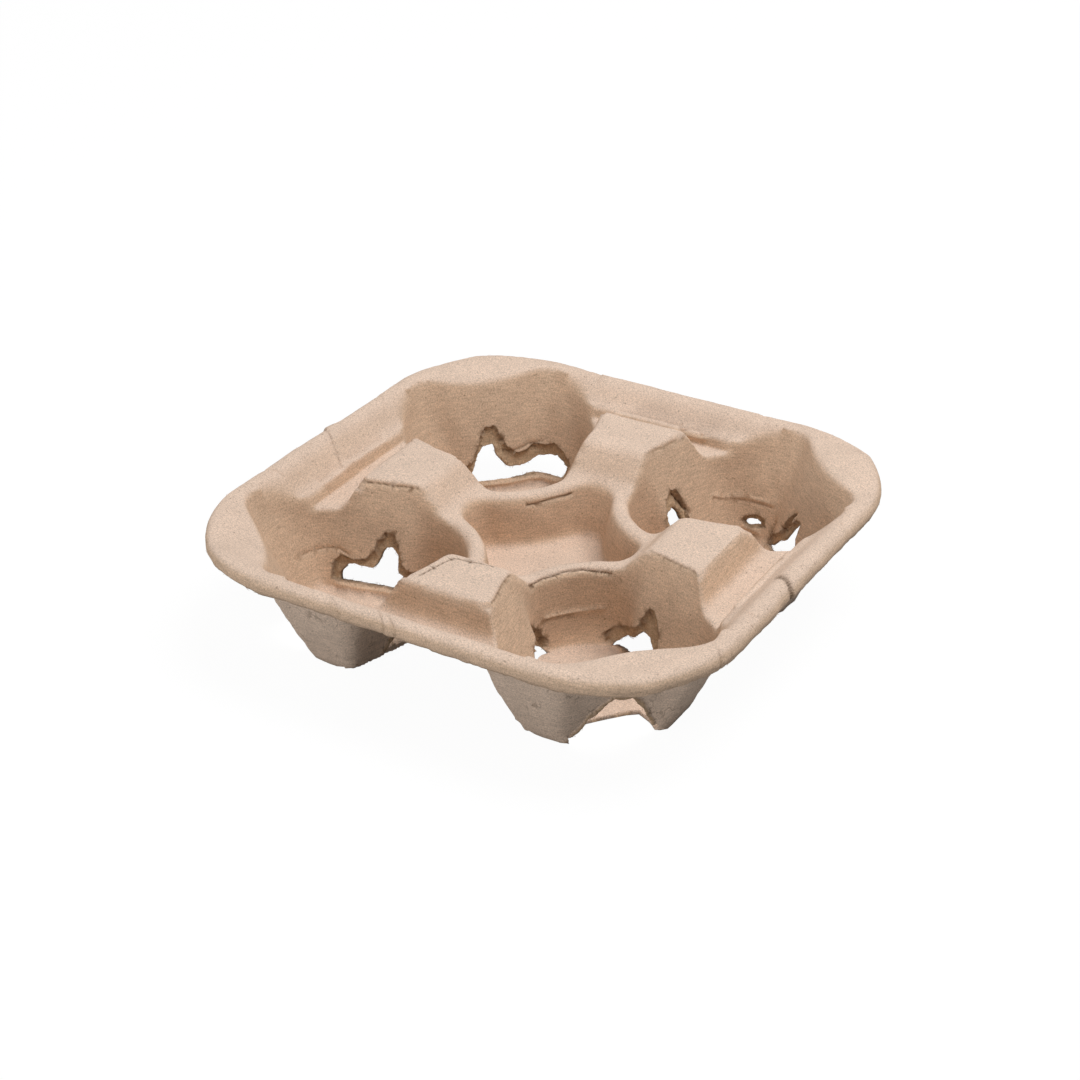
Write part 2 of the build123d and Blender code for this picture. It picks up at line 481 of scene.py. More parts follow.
@dataclass(frozen=True)
class TrayForm:
    """The upper skin of the whole tray, as the edge of the air in and around it."""

    rim: RimForm = RimForm()
    wells: WellForm = WellForm()
    posts: PostForm = PostForm()
    middle: MiddleForm = MiddleForm()
    channels: ChannelForm = ChannelForm()
    basins: BasinForm = BasinForm()
    height: float = 48.0
    wall: float = 1.8

    def basin(self, a: Array, b: Array, z: Array) -> tuple[Array, Array]:
        """Distance to the shallow hollow over the posts and over the crescents at the corners.

        Args:
            a: Reach of each point along x.
            b: Reach of each point along y.
            z: Height of each point.

        Returns:
            The distance, and how much of a corner each point belongs to.
        """
        corner = self.basins.corner(a, b)
        crescent = self.rim.crescent_slope * self.rim.inner_edge(a, b)
        surface = (1.0 - corner) * self.posts.top + corner * crescent
        limit = np.maximum(a, b) - (self.basins.reach + self.basins.corner_spread * corner)
        return both(surface - z, limit, self.basins.edge_radius), corner

    def air(self, points: Array) -> Array:
        """Distance to the air above and around the tray, negative in the air.

        Args:
            points: Points to look at.

        Returns:
            One distance for each point.
        """
        a, b, z = np.abs(points[:, 0]), np.abs(points[:, 1]), points[:, 2]
        hollow = self.wells.distance(self.posts, a, b, z)
        hollow = either(hollow, self.middle.dish(a, b, z), self.middle.ridge_radius)
        hollow = either(hollow, self.middle.recess(self.wells, a, b, z), self.middle.ridge_radius)
        for reach, across in ((a, b), (b, a)):
            channel = self.channels.distance(reach, across, z)
            hollow = either(hollow, channel, self.posts.edge_radius)
        basin, corner = self.basin(a, b, z)
        hollow = either(hollow, basin, self.posts.edge_radius)
        edge = self.rim.inner_edge_radius
        edge = edge + corner * (self.rim.corner_edge_radius - edge)
        return either(self.rim.outside(a, b, z), hollow, edge)

    def slope(self, points: Array, step: float = 0.05) -> tuple[Array, Array]:
        """Distance to the air at each point, and the direction in which it grows.

        Args:
            points: Points to look at.
            step: Distance between two looks.

        Returns:
            The distances, and one direction for each point.
        """
        here = self.air(points)
        gradient = np.empty_like(points)
        for axis in range(3):
            moved = points.copy()
            moved[:, axis] += step
            gradient[:, axis] = (self.air(moved) - here) / step
        return here, gradient

    def settle(self, points: Array, steps: int = 2, level: float = 0.0, most: float = 1.5) -> Array:
        """Move each point to a level of the sheet.

        Args:
            points: Points to move.
            steps: Number of moves.
            level: Depth under the upper skin to move to.
            most: Longest single move.

        Returns:
            The moved points.
        """
        least_steepness = 0.05
        for _ in range(steps):
            here, gradient = self.slope(points)
            steepness = np.maximum((gradient**2).sum(1), least_steepness)
            move = gradient * ((level - here) / steepness)[:, None]
            length = np.linalg.norm(move, axis=1)
            move *= np.minimum(1.0, most / np.maximum(length, TINY))[:, None]
            points = points + move
        return points

    def inwards(self, points: Array) -> Array:
        """Direction into the sheet at each point, of length one."""
        return unit(self.slope(points)[1])

    def underside(self) -> "TrayForm":
        """The form that shapes the lower skin, where the pulp fills the corners out."""
        wells = replace(
            self.wells,
            floor_radius=-0.5,
            nose_corner_radius=2.0,
            chamfer_corner_radius=0.2,
            flank_corner_radius=0.2,
            flank_corner_flare=14.0,
        )
        return replace(self, wells=wells, posts=replace(self.posts, flank_slope=0.41))


# Drawing the grid tight over the skin


@dataclass
class SkinGrid:
    """Square grid of points drawn tight over the upper skin."""

    form: TrayForm
    rows: int = 141
    lip_share: float = 0.08
    passes: int = 4
    smoothings: int = 60
    smoothing_share: float = 0.8
    plan_trials: int = 30
    height_trials: int = 12
    widest: float = 1.2
    top: float = 2.0
    fall: float = 1.0

    def points(self) -> Array:
        """Points of the finished grid, as rows by rows by three."""
        grid = self.drop()
        for _ in range(self.passes):
            grid = self.even_out(grid)
            grid = self.even_out(grid.transpose(1, 0, 2)).transpose(1, 0, 2)
            grid = self.hold(grid)
        for _ in range(self.smoothings):
            middle = grid[1:-1, 1:-1]
            mean = (grid[:-2, 1:-1] + grid[2:, 1:-1] + grid[1:-1, :-2] + grid[1:-1, 2:]) / 4.0
            grid[1:-1, 1:-1] = middle + self.smoothing_share * (mean - middle)
            grid = self.hold(grid, 1)
        return self.hold(grid, 3)

    def drop(self) -> Array:
        """Grid spread over the plan and dropped onto the skin, its outer rows down the lip."""
        line = np.linspace(-1.0, 1.0, self.rows)
        s, t = np.meshgrid(line, line, indexing="ij")
        out = np.maximum(np.abs(s), np.abs(t))
        edge = 1.0 - self.lip_share
        plan = np.minimum(out / edge, 1.0)
        scale = np.where(out > 0.0, plan / np.maximum(out, TINY), 0.0)
        x, y = s * scale, t * scale
        half, radius = self.form.rim.half, self.form.rim.corner_radius
        low, high = np.zeros_like(x), np.full_like(x, self.widest)
        for _ in range(self.plan_trials):
            guess = (low + high) / 2.0
            size = half * guess / np.maximum(plan, TINY)
            inside = rounded_square(np.abs(x) * size, np.abs(y) * size, half, radius) < 0.0
            low, high = np.where(inside, guess, low), np.where(inside, high, guess)
        pull = 1.0 + (low - 1.0) * plan**2
        grid = np.stack([x * half * pull, y * half * pull, np.zeros_like(x)], axis=2)
        grid = self.fallen(grid.reshape(-1, 3)).reshape(grid.shape)
        down = np.clip((out - edge) / self.lip_share, 0.0, 1.0)
        drop = -self.form.rim.lip_depth * down
        grid[..., 2] = np.where(out > edge, drop, np.maximum(grid[..., 2], self.form.wells.floor))
        return grid

    def fallen(self, flat: Array) -> Array:
        """Points let down through the air onto the skin, first by steps and then by halving.

        Args:
            flat: Points to let down.

        Returns:
            The points on the skin.
        """
        highest = np.full(len(flat), self.top)
        falling = np.ones(len(flat), bool)
        while falling.any():
            flat[:, 2] = highest - self.fall
            falling &= (self.form.air(flat) < 0.0) & (highest > self.form.wells.floor - self.fall)
            highest = np.where(falling, highest - self.fall, highest)
        lowest = highest - self.fall
        for _ in range(self.height_trials):
            middle = (lowest + highest) / 2.0
            flat[:, 2] = middle
            in_air = self.form.air(flat) < 0.0
            lowest, highest = np.where(in_air, lowest, middle), np.where(in_air, middle, highest)
        return flat

    def even_out(self, grid: Array) -> Array:
        """Space the points of each row evenly along that row.

        Args:
            grid: Grid of points.

        Returns:
            The evened grid.
        """
        result = grid.copy()
        for index in range(1, self.rows - 1):
            row = grid[index]
            steps = np.linalg.norm(np.diff(row, axis=0), axis=1)
            travel = np.concatenate([[0.0], np.cumsum(steps)])
            wanted = np.linspace(0.0, travel[-1], self.rows)
            for axis in range(3):
                result[index, :, axis] = np.interp(wanted, travel, row[:, axis])
        return result

    def hold(self, grid: Array, steps: int = 2) -> Array:
        """Put the points back on the skin, and the outermost row on the edge of the lip.

        Args:
            grid: Grid of points.
            steps: Moves towards the skin.

        Returns:
            The grid on the skin.
        """
        flat = self.form.settle(grid.reshape(-1, 3).copy(), steps)
        grid = flat.reshape(grid.shape)
        rim = self.form.rim
        edge = np.zeros((self.rows, self.rows), bool)
        edge[0], edge[-1], edge[:, 0], edge[:, -1] = True, True, True, True
        ring = grid[edge]
        ring[:, 2] = -rim.lip_depth
        grid[edge] = self.form.settle(ring, 2)
        ring = grid[edge]
        ring[:, 2] = -rim.lip_depth
        grid[edge] = ring
        return grid


# Cutting and dividing the sheet

NEAREST_CUT = 0.08


@dataclass
class Skin:
    """Triangle mesh of one skin, with its points in millimetres."""

    points: Array
    triangles: Array

    def edges(self) -> tuple[Array, Array]:
        """Edges without repeats, and for each triangle the numbers of its three edges."""
        sides = np.concatenate([self.triangles[:, [i, (i + 1) % 3]] for i in range(3)])
        pairs, numbers = np.unique(np.sort(sides, axis=1), axis=0, return_inverse=True)
        return pairs, numbers.reshape(3, -1).T

    def divide(self, wanted: Callable[[Array], Array]) -> "Skin":
        """Halve the edges that are too long.

        Args:
            wanted: Gives the longest edge allowed at each point.

        Returns:
            A skin with those edges halved, still without gaps.
        """
        pairs, numbers = self.edges()
        ends = self.points[pairs]
        middles = ends.mean(axis=1)
        long = np.linalg.norm(ends[:, 1] - ends[:, 0], axis=1) > wanted(middles)
        index = np.full(len(pairs), -1)
        index[long] = len(self.points) + np.arange(long.sum())
        points = np.vstack([self.points, middles[long]])
        corners = self.triangles
        mids = index[numbers]
        split = (mids >= 0).sum(axis=1)
        made = [corners[split == 0]]
        for turn in range(3):
            order = [(turn + i) % 3 for i in range(3)]
            v, m = corners[:, order], mids[:, order]
            one = (split == 1) & (m[:, 0] >= 0)
            made.append(np.stack([v[one, 0], m[one, 0], v[one, 2]], axis=1))
            made.append(np.stack([m[one, 0], v[one, 1], v[one, 2]], axis=1))
            two = (split == 2) & (m[:, 2] < 0)
            made.append(np.stack([m[two, 0], v[two, 1], m[two, 1]], axis=1))
            made.append(np.stack([v[two, 0], m[two, 0], m[two, 1]], axis=1))
            made.append(np.stack([v[two, 0], m[two, 1], v[two, 2]], axis=1))
        v, m = corners[split == 3], mids[split == 3]
        made.append(np.stack([m[:, 0], m[:, 1], m[:, 2]], axis=1))
        for i in range(3):
            made.append(np.stack([v[:, i], m[:, i], m[:, (i + 2) % 3]], axis=1))
        return Skin(points, np.vstack(made))

    def split(self, value: Array) -> tuple["Skin", Array]:
        """Divide the skin along the line where a value passes zero.

        Args:
            value: One value for each point.

        Returns:
            The divided skin, and the value at each of its points.
        """
        pairs, numbers = self.edges()
        low, high = value[pairs[:, 0]], value[pairs[:, 1]]
        crossed = (low < 0.0) != (high < 0.0)
        share = low[crossed] / (low[crossed] - high[crossed])
        share = np.clip(share, NEAREST_CUT, 1.0 - NEAREST_CUT)[:, None]
        ends = self.points[pairs[crossed]]
        index = np.full(len(pairs), -1)
        index[crossed] = len(self.points) + np.arange(crossed.sum())
        points = np.vstack([self.points, ends[:, 0] * (1.0 - share) + ends[:, 1] * share])
        below = value[self.triangles] < 0.0
        count = below.sum(axis=1)
        made = [self.triangles[(count == 0) | (count == 3)]]
        mids = index[numbers]
        for turn in range(3):
            order = [(turn + i) % 3 for i in range(3)]
            v, m, g = self.triangles[:, order], mids[:, order], below[:, order]
            alone = ((count == 1) & g[:, 0]) | ((count == 2) & ~g[:, 0])
            made.append(np.stack([m[alone, 0], v[alone, 1], v[alone, 2]], axis=1))
            made.append(np.stack([m[alone, 0], v[alone, 2], m[alone, 2]], axis=1))
            made.append(np.stack([v[alone, 0], m[alone, 0], m[alone, 2]], axis=1))
        values = np.concatenate([value, np.zeros(crossed.sum())])
        return Skin(points, np.vstack(made)), values

    def cut(self, value: Array) -> "Skin":
        """Take away what has a value below zero, along a clean line.

        Args:
            value: One value for each point.

        Returns:
            The largest piece that is left.
        """
        divided, values = self.split(value)
        kept = divided.triangles[values[divided.triangles].min(axis=1) >= 0.0]
        return Skin(divided.points, kept).largest()

    def largest(self) -> "Skin":
        """Keep only the piece with the most triangles, and the points that it uses."""
        label = np.arange(len(self.points))
        while True:
            least = label[self.triangles].min(axis=1)
            spread = label.copy()
            for i in range(3):
                np.minimum.at(spread, self.triangles[:, i], least)
            spread = spread[spread]
            if np.array_equal(spread, label):
                break
            label = spread
        home = label[self.triangles[:, 0]]
        names, counts = np.unique(home, return_counts=True)
        kept = self.triangles[home == names[counts.argmax()]]
        used, numbers = np.unique(kept, return_inverse=True)
        return Skin(self.points[used], numbers.reshape(-1, 3))

    def border(self) -> Array:
        """Edges with a triangle on one side only, in that triangle's direction."""
        sides = np.concatenate([self.triangles[:, [i, (i + 1) % 3]] for i in range(3)])
        _, first, counts = np.unique(
            np.sort(sides, axis=1), axis=0, return_index=True, return_counts=True
        )
        return sides[first[counts == 1]]

    def normals(self) -> Array:
        """Direction away from the skin at each point."""
        corners = self.points[self.triangles]
        faces = np.cross(corners[:, 1] - corners[:, 0], corners[:, 2] - corners[:, 0])
        total = np.zeros_like(self.points)
        for i in range(3):
            np.add.at(total, self.triangles[:, i], faces)
        return unit(total)

    def outward(self, times: int) -> Array:
        """Direction away from the skin at each point, evened out a few times."""
        return unit(self.spread(self.normals(), times))

    def spread(self, values: Array, times: int) -> Array:
        """Values at the points, each mixed with its neighbours' a few times.

        Args:
            values: One value or direction for each point.
            times: How often to mix.

        Returns:
            The mixed values.
        """
        pairs, _ = self.edges()
        count = np.bincount(pairs.ravel(), minlength=len(self.points))
        for _ in range(times):
            total = np.zeros_like(values)
            np.add.at(total, pairs[:, 0], values[pairs[:, 1]])
            np.add.at(total, pairs[:, 1], values[pairs[:, 0]])
            shape = (-1,) + (1,) * (values.ndim - 1)
            values = (values + total / np.maximum(count, 1).reshape(shape)) / 2.0
        return values


# Openings, creases and cracks


class Facing(Enum):
    """Wall of a well that an opening goes through, in the well's own quarter."""

    FLANK_ALONG_X = "flank along x"
    FLANK_ALONG_Y = "flank along y"
    CORNER = "corner"
    OUTER_WALL = "outer wall along x"
    FLOOR = "floor by the corner"


@dataclass(frozen=True)
class Tear:
    """Opening torn in one wall of a well.

    The hole and the patch where the upper ply came away round it are outlined as (distance along
    the wall, height under the rim), in the quarter where the well's reaches are positive. On the
    floor the second figure is the distance past the foot of the chamfer, and there is no patch.
    """

    quarter: tuple[int, int]
    facing: Facing
    hole: Outline
    patch: Outline = ()
    flank_reach: float = 31.0
    flank_width: float = 46.0
    outer_reach: float = 77.0
    corner_reach: float = 84.0
    wall_top: float = -12.0
    floor_top: float = -42.5
    patch_foot: float = -44.3
    sill_drop: float = 1.7
    sill_width: float = 1.1
    sill_ease: float = 2.0
    sill_height_range: float = 4.0

    def on_wall(self, points: Array) -> tuple[Array, Array, Array]:
        """Distance along the wall, height, and distance from the wall's part of space.

        Args:
            points: Points to look at.

        Returns:
            The three, for each point.
        """
        x, y, z = points[:, 0] * self.quarter[0], points[:, 1] * self.quarter[1], points[:, 2]
        diagonal, off = (x + y) * math.sqrt(0.5), (x - y) * math.sqrt(0.5)
        if self.facing is Facing.FLOOR:
            past_foot = diagonal - WellForm.chamfer_foot
            return off, past_foot, np.maximum.reduce([z - self.floor_top, -x, -y])
        if self.facing is Facing.FLANK_ALONG_X:
            along, away = x, np.maximum(self.flank_reach - x, y - self.flank_width)
        elif self.facing is Facing.FLANK_ALONG_Y:
            along, away = y, np.maximum(self.flank_reach - y, x - self.flank_width)
        elif self.facing is Facing.CORNER:
            along, away = off, self.corner_reach - diagonal
        else:
            along, away = x, self.outer_reach - y
        return along, z, np.maximum.reduce([away, -x, -y, z - self.wall_top])

    def hole_distance(self, points: Array) -> Array:
        """Distance to the hole, negative in it."""
        along, level, away = self.on_wall(points)
        return np.maximum(polygon_distance(along, level, list(self.hole)), away)

    def patch_distance(self, points: Array) -> Array:
        """Distance to the patch round the hole, negative in it.

        Args:
            points: Points to look at.

        Returns:
            One distance for each point.
        """
        if self.facing is Facing.FLOOR:
            return self.hole_distance(points)
        along, level, away = self.on_wall(points)
        off_floor = self.patch_foot - level
        return np.maximum.reduce([polygon_distance(along, level, list(self.patch)), away, off_floor])

    def sill(self, points: Array) -> Array:
        """Strength of the ridge that is left standing under the hole.

        Args:
            points: Points to look at.

        Returns:
            A strength from 0 to 1 for each point.
        """
        if self.facing is Facing.FLOOR:
            return np.zeros(len(points))
        along, level, away = self.on_wall(points)
        low = min(height for _, height in self.hole)
        ends = [place for place, height in self.hole if height < low + self.sill_height_range]
        first, last, ease = min(ends), max(ends), self.sill_ease
        within = smooth(first - ease, first + ease, along)
        within = within * (1.0 - smooth(last - ease, last + ease, along))
        ridge = np.exp(-(((level - low + self.sill_drop) / self.sill_width) ** 2))
        return np.where(away < 0.0, within * ridge, 0.0)


RIGHT, BACK, LEFT, FRONT = (1, 1), (-1, 1), (-1, -1), (1, -1)
FLANK_HOLE: Outline = ((50, -42), (51, -35), (56, -29), (61, -31), (66, -35), (73, -36), (75, -42))
FLANK_PATCH: Outline = (
    (48, -42), (48, -34), (52, -28), (56, -24), (60, -24), (63, -30), (70, -32), (77, -33), (77, -42),
)
CHAMFER_HOLE: Outline = ((13, -42), (11, -35), (6, -29), (2, -25), (-4, -27), (-9, -34), (-12, -42))
CHAMFER_PATCH: Outline = (
    (14, -42), (13, -33), (7, -26), (2, -22), (-5, -24), (-11, -32), (-14, -42),
)

TEARS = (
    Tear(RIGHT, Facing.FLANK_ALONG_X, FLANK_HOLE, FLANK_PATCH),
    Tear(
        RIGHT,
        Facing.FLANK_ALONG_Y,
        ((51, -41.5), (52.4, -29), (53, -27), (57, -25.4), (58.7, -27), (60, -31), (66, -35), (74, -41)),
        (
            (49.5, -42), (50.5, -29), (52, -25), (53.5, -22.2), (57.3, -19.5), (60, -19.9),
            (61.6, -23.5), (62.6, -28.4), (62, -32), (67, -36), (75, -42),
        ),
    ),
    Tear(
        RIGHT,
        Facing.CORNER,
        (
            (-14.8, -42), (-9.1, -37), (-3.6, -33.9), (-0.7, -29.2), (1.1, -26.4), (3.6, -26),
            (4.7, -30.3), (9.5, -34.2), (6.9, -37.3), (-0.1, -40.5), (-7.2, -41.4),
        ),
        (
            (-17, -42), (-16, -38), (-12, -36.5), (-8, -34), (-7, -30), (-3, -24), (-1, -24),
            (-2, -28), (1, -25), (4.5, -25), (6, -30), (11, -34), (9, -41),
        ),
    ),
    Tear(
        RIGHT,
        Facing.OUTER_WALL,
        (
            (42.5, -38.2), (43.8, -37.2), (45.4, -36.7), (48, -36.4), (50.2, -37.3), (49.7, -38.3),
            (47, -38.8), (44.2, -38.8),
        ),
        (
            (41.7, -38.4), (42.8, -36.4), (45.3, -35.4), (48.6, -35.2), (51.6, -36.4), (52.4, -38.2),
            (50, -39.5), (47, -40), (44, -40),
        ),
    ),
    Tear(BACK, Facing.FLANK_ALONG_X, FLANK_HOLE, FLANK_PATCH),
    Tear(BACK, Facing.FLANK_ALONG_Y, FLANK_HOLE, FLANK_PATCH),
    Tear(
        BACK,
        Facing.CORNER,
        (
            (10.7, -41.5), (9.1, -37.9), (6.2, -32.3), (4, -28.6), (-0.7, -28), (-1.5, -30.6),
            (-4.8, -35.5), (-7.9, -37.4), (-13, -38.2), (-18, -37.8), (-18, -41), (-12.9, -41.5),
        ),
        (
            (15, -40), (12, -36), (8.5, -33), (5.5, -28), (4.6, -24.7), (2.2, -21.3), (-1.8, -20.9),
            (-4.7, -25.7), (-6.7, -30), (-11.3, -32.5), (-18, -33), (-18, -42),
        ),
    ),
    Tear(
        BACK,
        Facing.OUTER_WALL,
        ((63, -41), (62, -37.8), (58.5, -37.5), (55.2, -35), (47.7, -34), (42, -37), (43.2, -41.5)),
        ((64, -41), (62, -33), (57, -30.5), (50, -30), (45, -31.5), (40, -36), (41, -41.5)),
    ),
    Tear(
        LEFT,
        Facing.FLANK_ALONG_X,
        (
            (50, -41.5), (49, -38), (52, -34), (54, -29), (56.5, -26.3), (59.3, -27.2), (61.3, -33.4),
            (62.7, -35.3), (68.4, -34.9), (72.5, -35.4), (74.5, -38.6), (74.1, -41.5),
        ),
        (
            (48, -42), (47, -37), (51, -32), (54, -25), (57, -22), (60.6, -21), (62.6, -25),
            (63.4, -30), (65.5, -32.3), (70.1, -32.9), (75, -32), (78, -34), (77, -42),
        ),
        patch_foot=-41.7,
    ),
    Tear(
        LEFT,
        Facing.FLANK_ALONG_Y,
        ((50, -42), (51, -35), (56, -29), (60, -31), (64, -35), (66, -38), (67, -42)),
        (
            (48, -42), (48, -34), (52, -28), (56, -24), (60, -24), (62, -29), (66, -33), (69, -37),
            (69, -42),
        ),
    ),
    Tear(LEFT, Facing.CORNER, CHAMFER_HOLE, CHAMFER_PATCH),
    Tear(
        FRONT,
        Facing.FLANK_ALONG_X,
        (
            (37.5, -45), (39.8, -42.9), (42.8, -39.2), (46, -36.3), (50.3, -32), (54, -29.5),
            (58.1, -30.4), (60, -33), (61.5, -38), (62, -43), (50, -43),
        ),
        (
            (35, -45.5), (35.8, -40), (38.5, -37.6), (44.2, -34.4), (49.8, -30.4), (52.5, -27),
            (54.5, -24.3), (56, -21.3), (58.6, -21), (60.8, -24), (62.6, -28.3), (63.5, -33), (65, -43.5),
        ),
    ),
    Tear(
        FRONT,
        Facing.FLANK_ALONG_Y,
        (
            (33.5, -45.6), (35.2, -43.8), (38, -41.5), (43, -37.5), (48, -33.5), (53, -31.5),
            (56, -33.5), (58, -41.5), (48, -45),
        ),
        (
            (31.5, -45.8), (33.4, -41), (36, -35.5), (40.5, -31.3), (44, -28.5), (46, -31), (53, -29),
            (58, -32), (60, -42), (50, -46),
        ),
    ),
    Tear(
        FRONT,
        Facing.CORNER,
        (
            (-17.5, -52), (-17.5, -45.5), (-16.3, -42.2), (-14.5, -39.8), (-11.5, -33.6), (-6.6, -27.8),
            (-2.8, -23.8), (3.9, -25.3), (8.3, -31.2), (10.9, -37.3), (13.2, -41), (15, -52),
        ),
        (
            (-18.5, -50), (-18.2, -44), (-15.5, -39), (-12.6, -32.8), (-7.6, -26.6), (-3, -22.4),
            (4.6, -23.9), (9.6, -30.6), (12.4, -37), (14.6, -41), (16, -50),
        ),
        corner_reach=88.0,
    ),
    Tear(
        FRONT,
        Facing.FLOOR,
        (
            (-18, 6), (-16.8, -1.5), (-13.5, -4.5), (-8, -7), (0, -8.2), (8, -9), (12.5, -8.6),
            (14.6, -3), (16, 6),
        ),
    ),
)


@dataclass(frozen=True)
class Crease:
    """Line along which the skin is cracked, folded or raised, with painted shade along it."""

    path: tuple[tuple[float, float, float], ...]
    depth: float = 0.8
    width: float = 0.45
    # strength of the painted shade along the line; 0 leaves none
    darkness: float = 1.0
    spacing: float = 1.5
    wander: float = 0.35
    wander_size: float = 3.0
    wander_seeds: tuple[int, int, int] = (31, 32, 33)

    def drawn(self, tray: "PulpTray") -> "Crease":
        """The same crease with its path laid on the tray's upper skin.

        Args:
            tray: Tray that the crease is on.

        Returns:
            The laid crease.
        """
        path = np.array(self.path, float)
        path[:, 2] -= tray.lift(path)
        steps = np.linalg.norm(np.diff(path, axis=0), axis=1)
        travel = np.concatenate([[0.0], np.cumsum(steps)])
        places = np.linspace(0.0, travel[-1], max(2, int(travel[-1] / self.spacing)))
        laid = np.stack([np.interp(places, travel, path[:, axis]) for axis in range(3)], axis=1)
        sways = [swells(laid, (seed, self.wander, self.wander_size)) for seed in self.wander_seeds]
        laid = tray.form.settle(laid + np.stack(sways, axis=1), steps=5)
        return replace(self, path=tuple(map(tuple, laid.tolist())))

    def strength(self, points: Array, width: float) -> Array:
        """How near each point is to the line, from 0 far off to 1 on it.

        Args:
            points: Points to look at.
            width: Distance at which it fades.

        Returns:
            A strength for each point.
        """
        path = np.array(self.path)
        margin = 3.0 * width
        inside = (points > path.min(0) - margin) & (points < path.max(0) + margin)
        close = np.flatnonzero(inside.all(axis=1))
        nearest = np.full(len(close), np.inf)
        for start, end in zip(path, path[1:]):
            run = end - start
            off = points[close] - start
            share = np.clip(off @ run / (run @ run), 0.0, 1.0)
            nearest = np.minimum(nearest, np.linalg.norm(off - share[:, None] * run, axis=1))
        result = np.zeros(len(points))
        result[close] = np.exp(-((nearest / width) ** 2))
        return result


# A negative depth is a raised fold, and the darkness is painted shade along the line
CREASES = (
    Crease(((-20.1, 16.0, -17.7), (-14.1, 22.7, -16.5), (-8.9, 31.9, -16.3)), depth=0.7),
    Crease(
        (
            (14.5, -41.0, -15.0), (15.3, -35.9, -15.5), (16.5, -31.5, -15.6), (19.8, -26.1, -15.3),
            (25.0, -20.3, -14.9), (31.6, -16.9, -15.6), (36.0, -15.5, -16.0),
        ),
        depth=0.9,
    ),
    Crease(
        ((17.8, -33.9, -31.3), (21.1, -28.4, -31.4), (25.0, -23.9, -31.3), (34.3, -17.6, -30.5)),
        depth=-0.8, width=0.6, darkness=0.0,
    ),
    Crease(
        ((17.8, -34.5, -32.4), (21.1, -29.0, -32.3), (25.0, -24.5, -32.2)),
        depth=0.5, width=0.4, darkness=0.5,
    ),
    Crease(
        (
            (32.1, 77.0, -26.2), (36.2, 81.6, -28.2), (41.6, 85.3, -28.0), (47.5, 86.4, -28.3),
            (53.6, 84.7, -27.7),
        ),
        depth=-0.5, width=0.6, darkness=0.0,
    ),
    Crease(
        ((32.1, 77.0, -27.2), (41.6, 84.5, -29.0), (53.6, 84.0, -28.8)),
        depth=0.35, width=0.35, darkness=0.3,
    ),
    Crease(
        (
            (-88.0, -47.0, -31.5), (-85.1, -39.9, -30.9), (-81.4, -34.9, -30.5), (-77.3, -32.0, -30.2),
            (-72.0, -31.6, -32.5),
        ),
        depth=0.5, width=0.5, darkness=0.35,
    ),
    Crease(
        ((-66.0, 72.0, -29.8), (-62.2, 76.9, -30.8), (-58.7, 81.8, -29.2), (-54.7, 85.2, -28.2)),
        depth=0.6, width=0.4, darkness=0.6,
    ),
    Crease(
        (
            (-72.0, -18.6, -5.6), (-68.3, -17.7, -5.6), (-60.2, -15.8, -5.6), (-53.9, -14.6, -5.3),
            (-50.5, -13.6, -5.3),
        ),
        depth=0.6, width=0.4, darkness=0.7,
    ),
    Crease(
        (
            (-13.6, -69.0, -4.9), (-11.8, -61.2, -4.6), (-9.4, -52.9, -4.3), (-3.2, -52.5, -4.5),
            (5.0, -50.5, -5.5),
        ),
        depth=0.6,
    ),
    Crease(
        ((14.0, -51.3, -5.1), (15.7, -60.3, -5.8), (18.3, -70.7, -5.8)),
        depth=0.5, width=0.5, darkness=0.6,
    ),
    Crease(
        ((51.5, -13.7, -2.9), (62.0, -15.7, -3.1), (72.9, -18.6, -2.7), (75.5, -18.9, -5.9)),
        depth=0.4, width=0.5, darkness=0.5,
    ),
    Crease(
        ((19.8, 72.8, -1.7), (16.4, 62.9, -1.8), (13.8, 51.9, -1.1)),
        depth=0.4, width=0.7, darkness=0.3,
    ),
    Crease(((70.3, 72.4, -21.4), (67.2, 73.1, -26.2), (63.2, 74.9, -31.4)), depth=1.2, width=0.5),
    Crease(((56.3, 80.4, -33.0), (55.4, 79.6, -37.0), (54.0, 77.7, -42.0)), depth=1.4, width=0.9),
    Crease(((23.6, 59.3, -19.7), (26.0, 61.3, -24.2), (28.4, 63.0, -28.9)), depth=1.2, width=0.6),
    Crease(((18.6, -43.9, -29.5), (17.6, -40.0, -34.0), (17.8, -36.1, -39.7)), depth=1.2, width=0.6),
)


@dataclass(frozen=True)
class StepLines:
    """Crest and valley along the step in each channel between a post and the rim."""

    half_length: float = 21.0
    crest: tuple[float, float] = (89.9, -9.6)
    valley: tuple[float, float] = (92.4, -9.3)
    crest_height: float = 0.7
    valley_depth: float = 0.6
    # strength of the painted shade in the valley
    valley_darkness: float = 0.12
    width: float = 0.8

    def creases(self) -> tuple[Crease, ...]:
        """Both lines on all four sides."""
        made = []
        for cosine, sine in ((1, 0), (0, 1), (-1, 0), (0, -1)):
            for place, depth, darkness in (
                (self.crest, -self.crest_height, 0.0),
                (self.valley, self.valley_depth, self.valley_darkness),
            ):
                path = self.path(place, cosine, sine)
                made.append(Crease(path, depth, self.width, darkness))
        return tuple(made)

    def path(
        self, place: tuple[float, float], cosine: int, sine: int
    ) -> tuple[tuple[float, float, float], ...]:
        """Line at a reach and a height, turned to one side of the tray.

        Args:
            place: Reach and height of the line.
            cosine: Cosine of the turn to the side.
            sine: Sine of that turn.

        Returns:
            The places along the line.
        """
        reach, level = place
        third = self.half_length / 3.0
        places = (-self.half_length, -third, third, self.half_length)
        return tuple((cosine * reach - sine * a, sine * reach + cosine * a, level) for a in places)


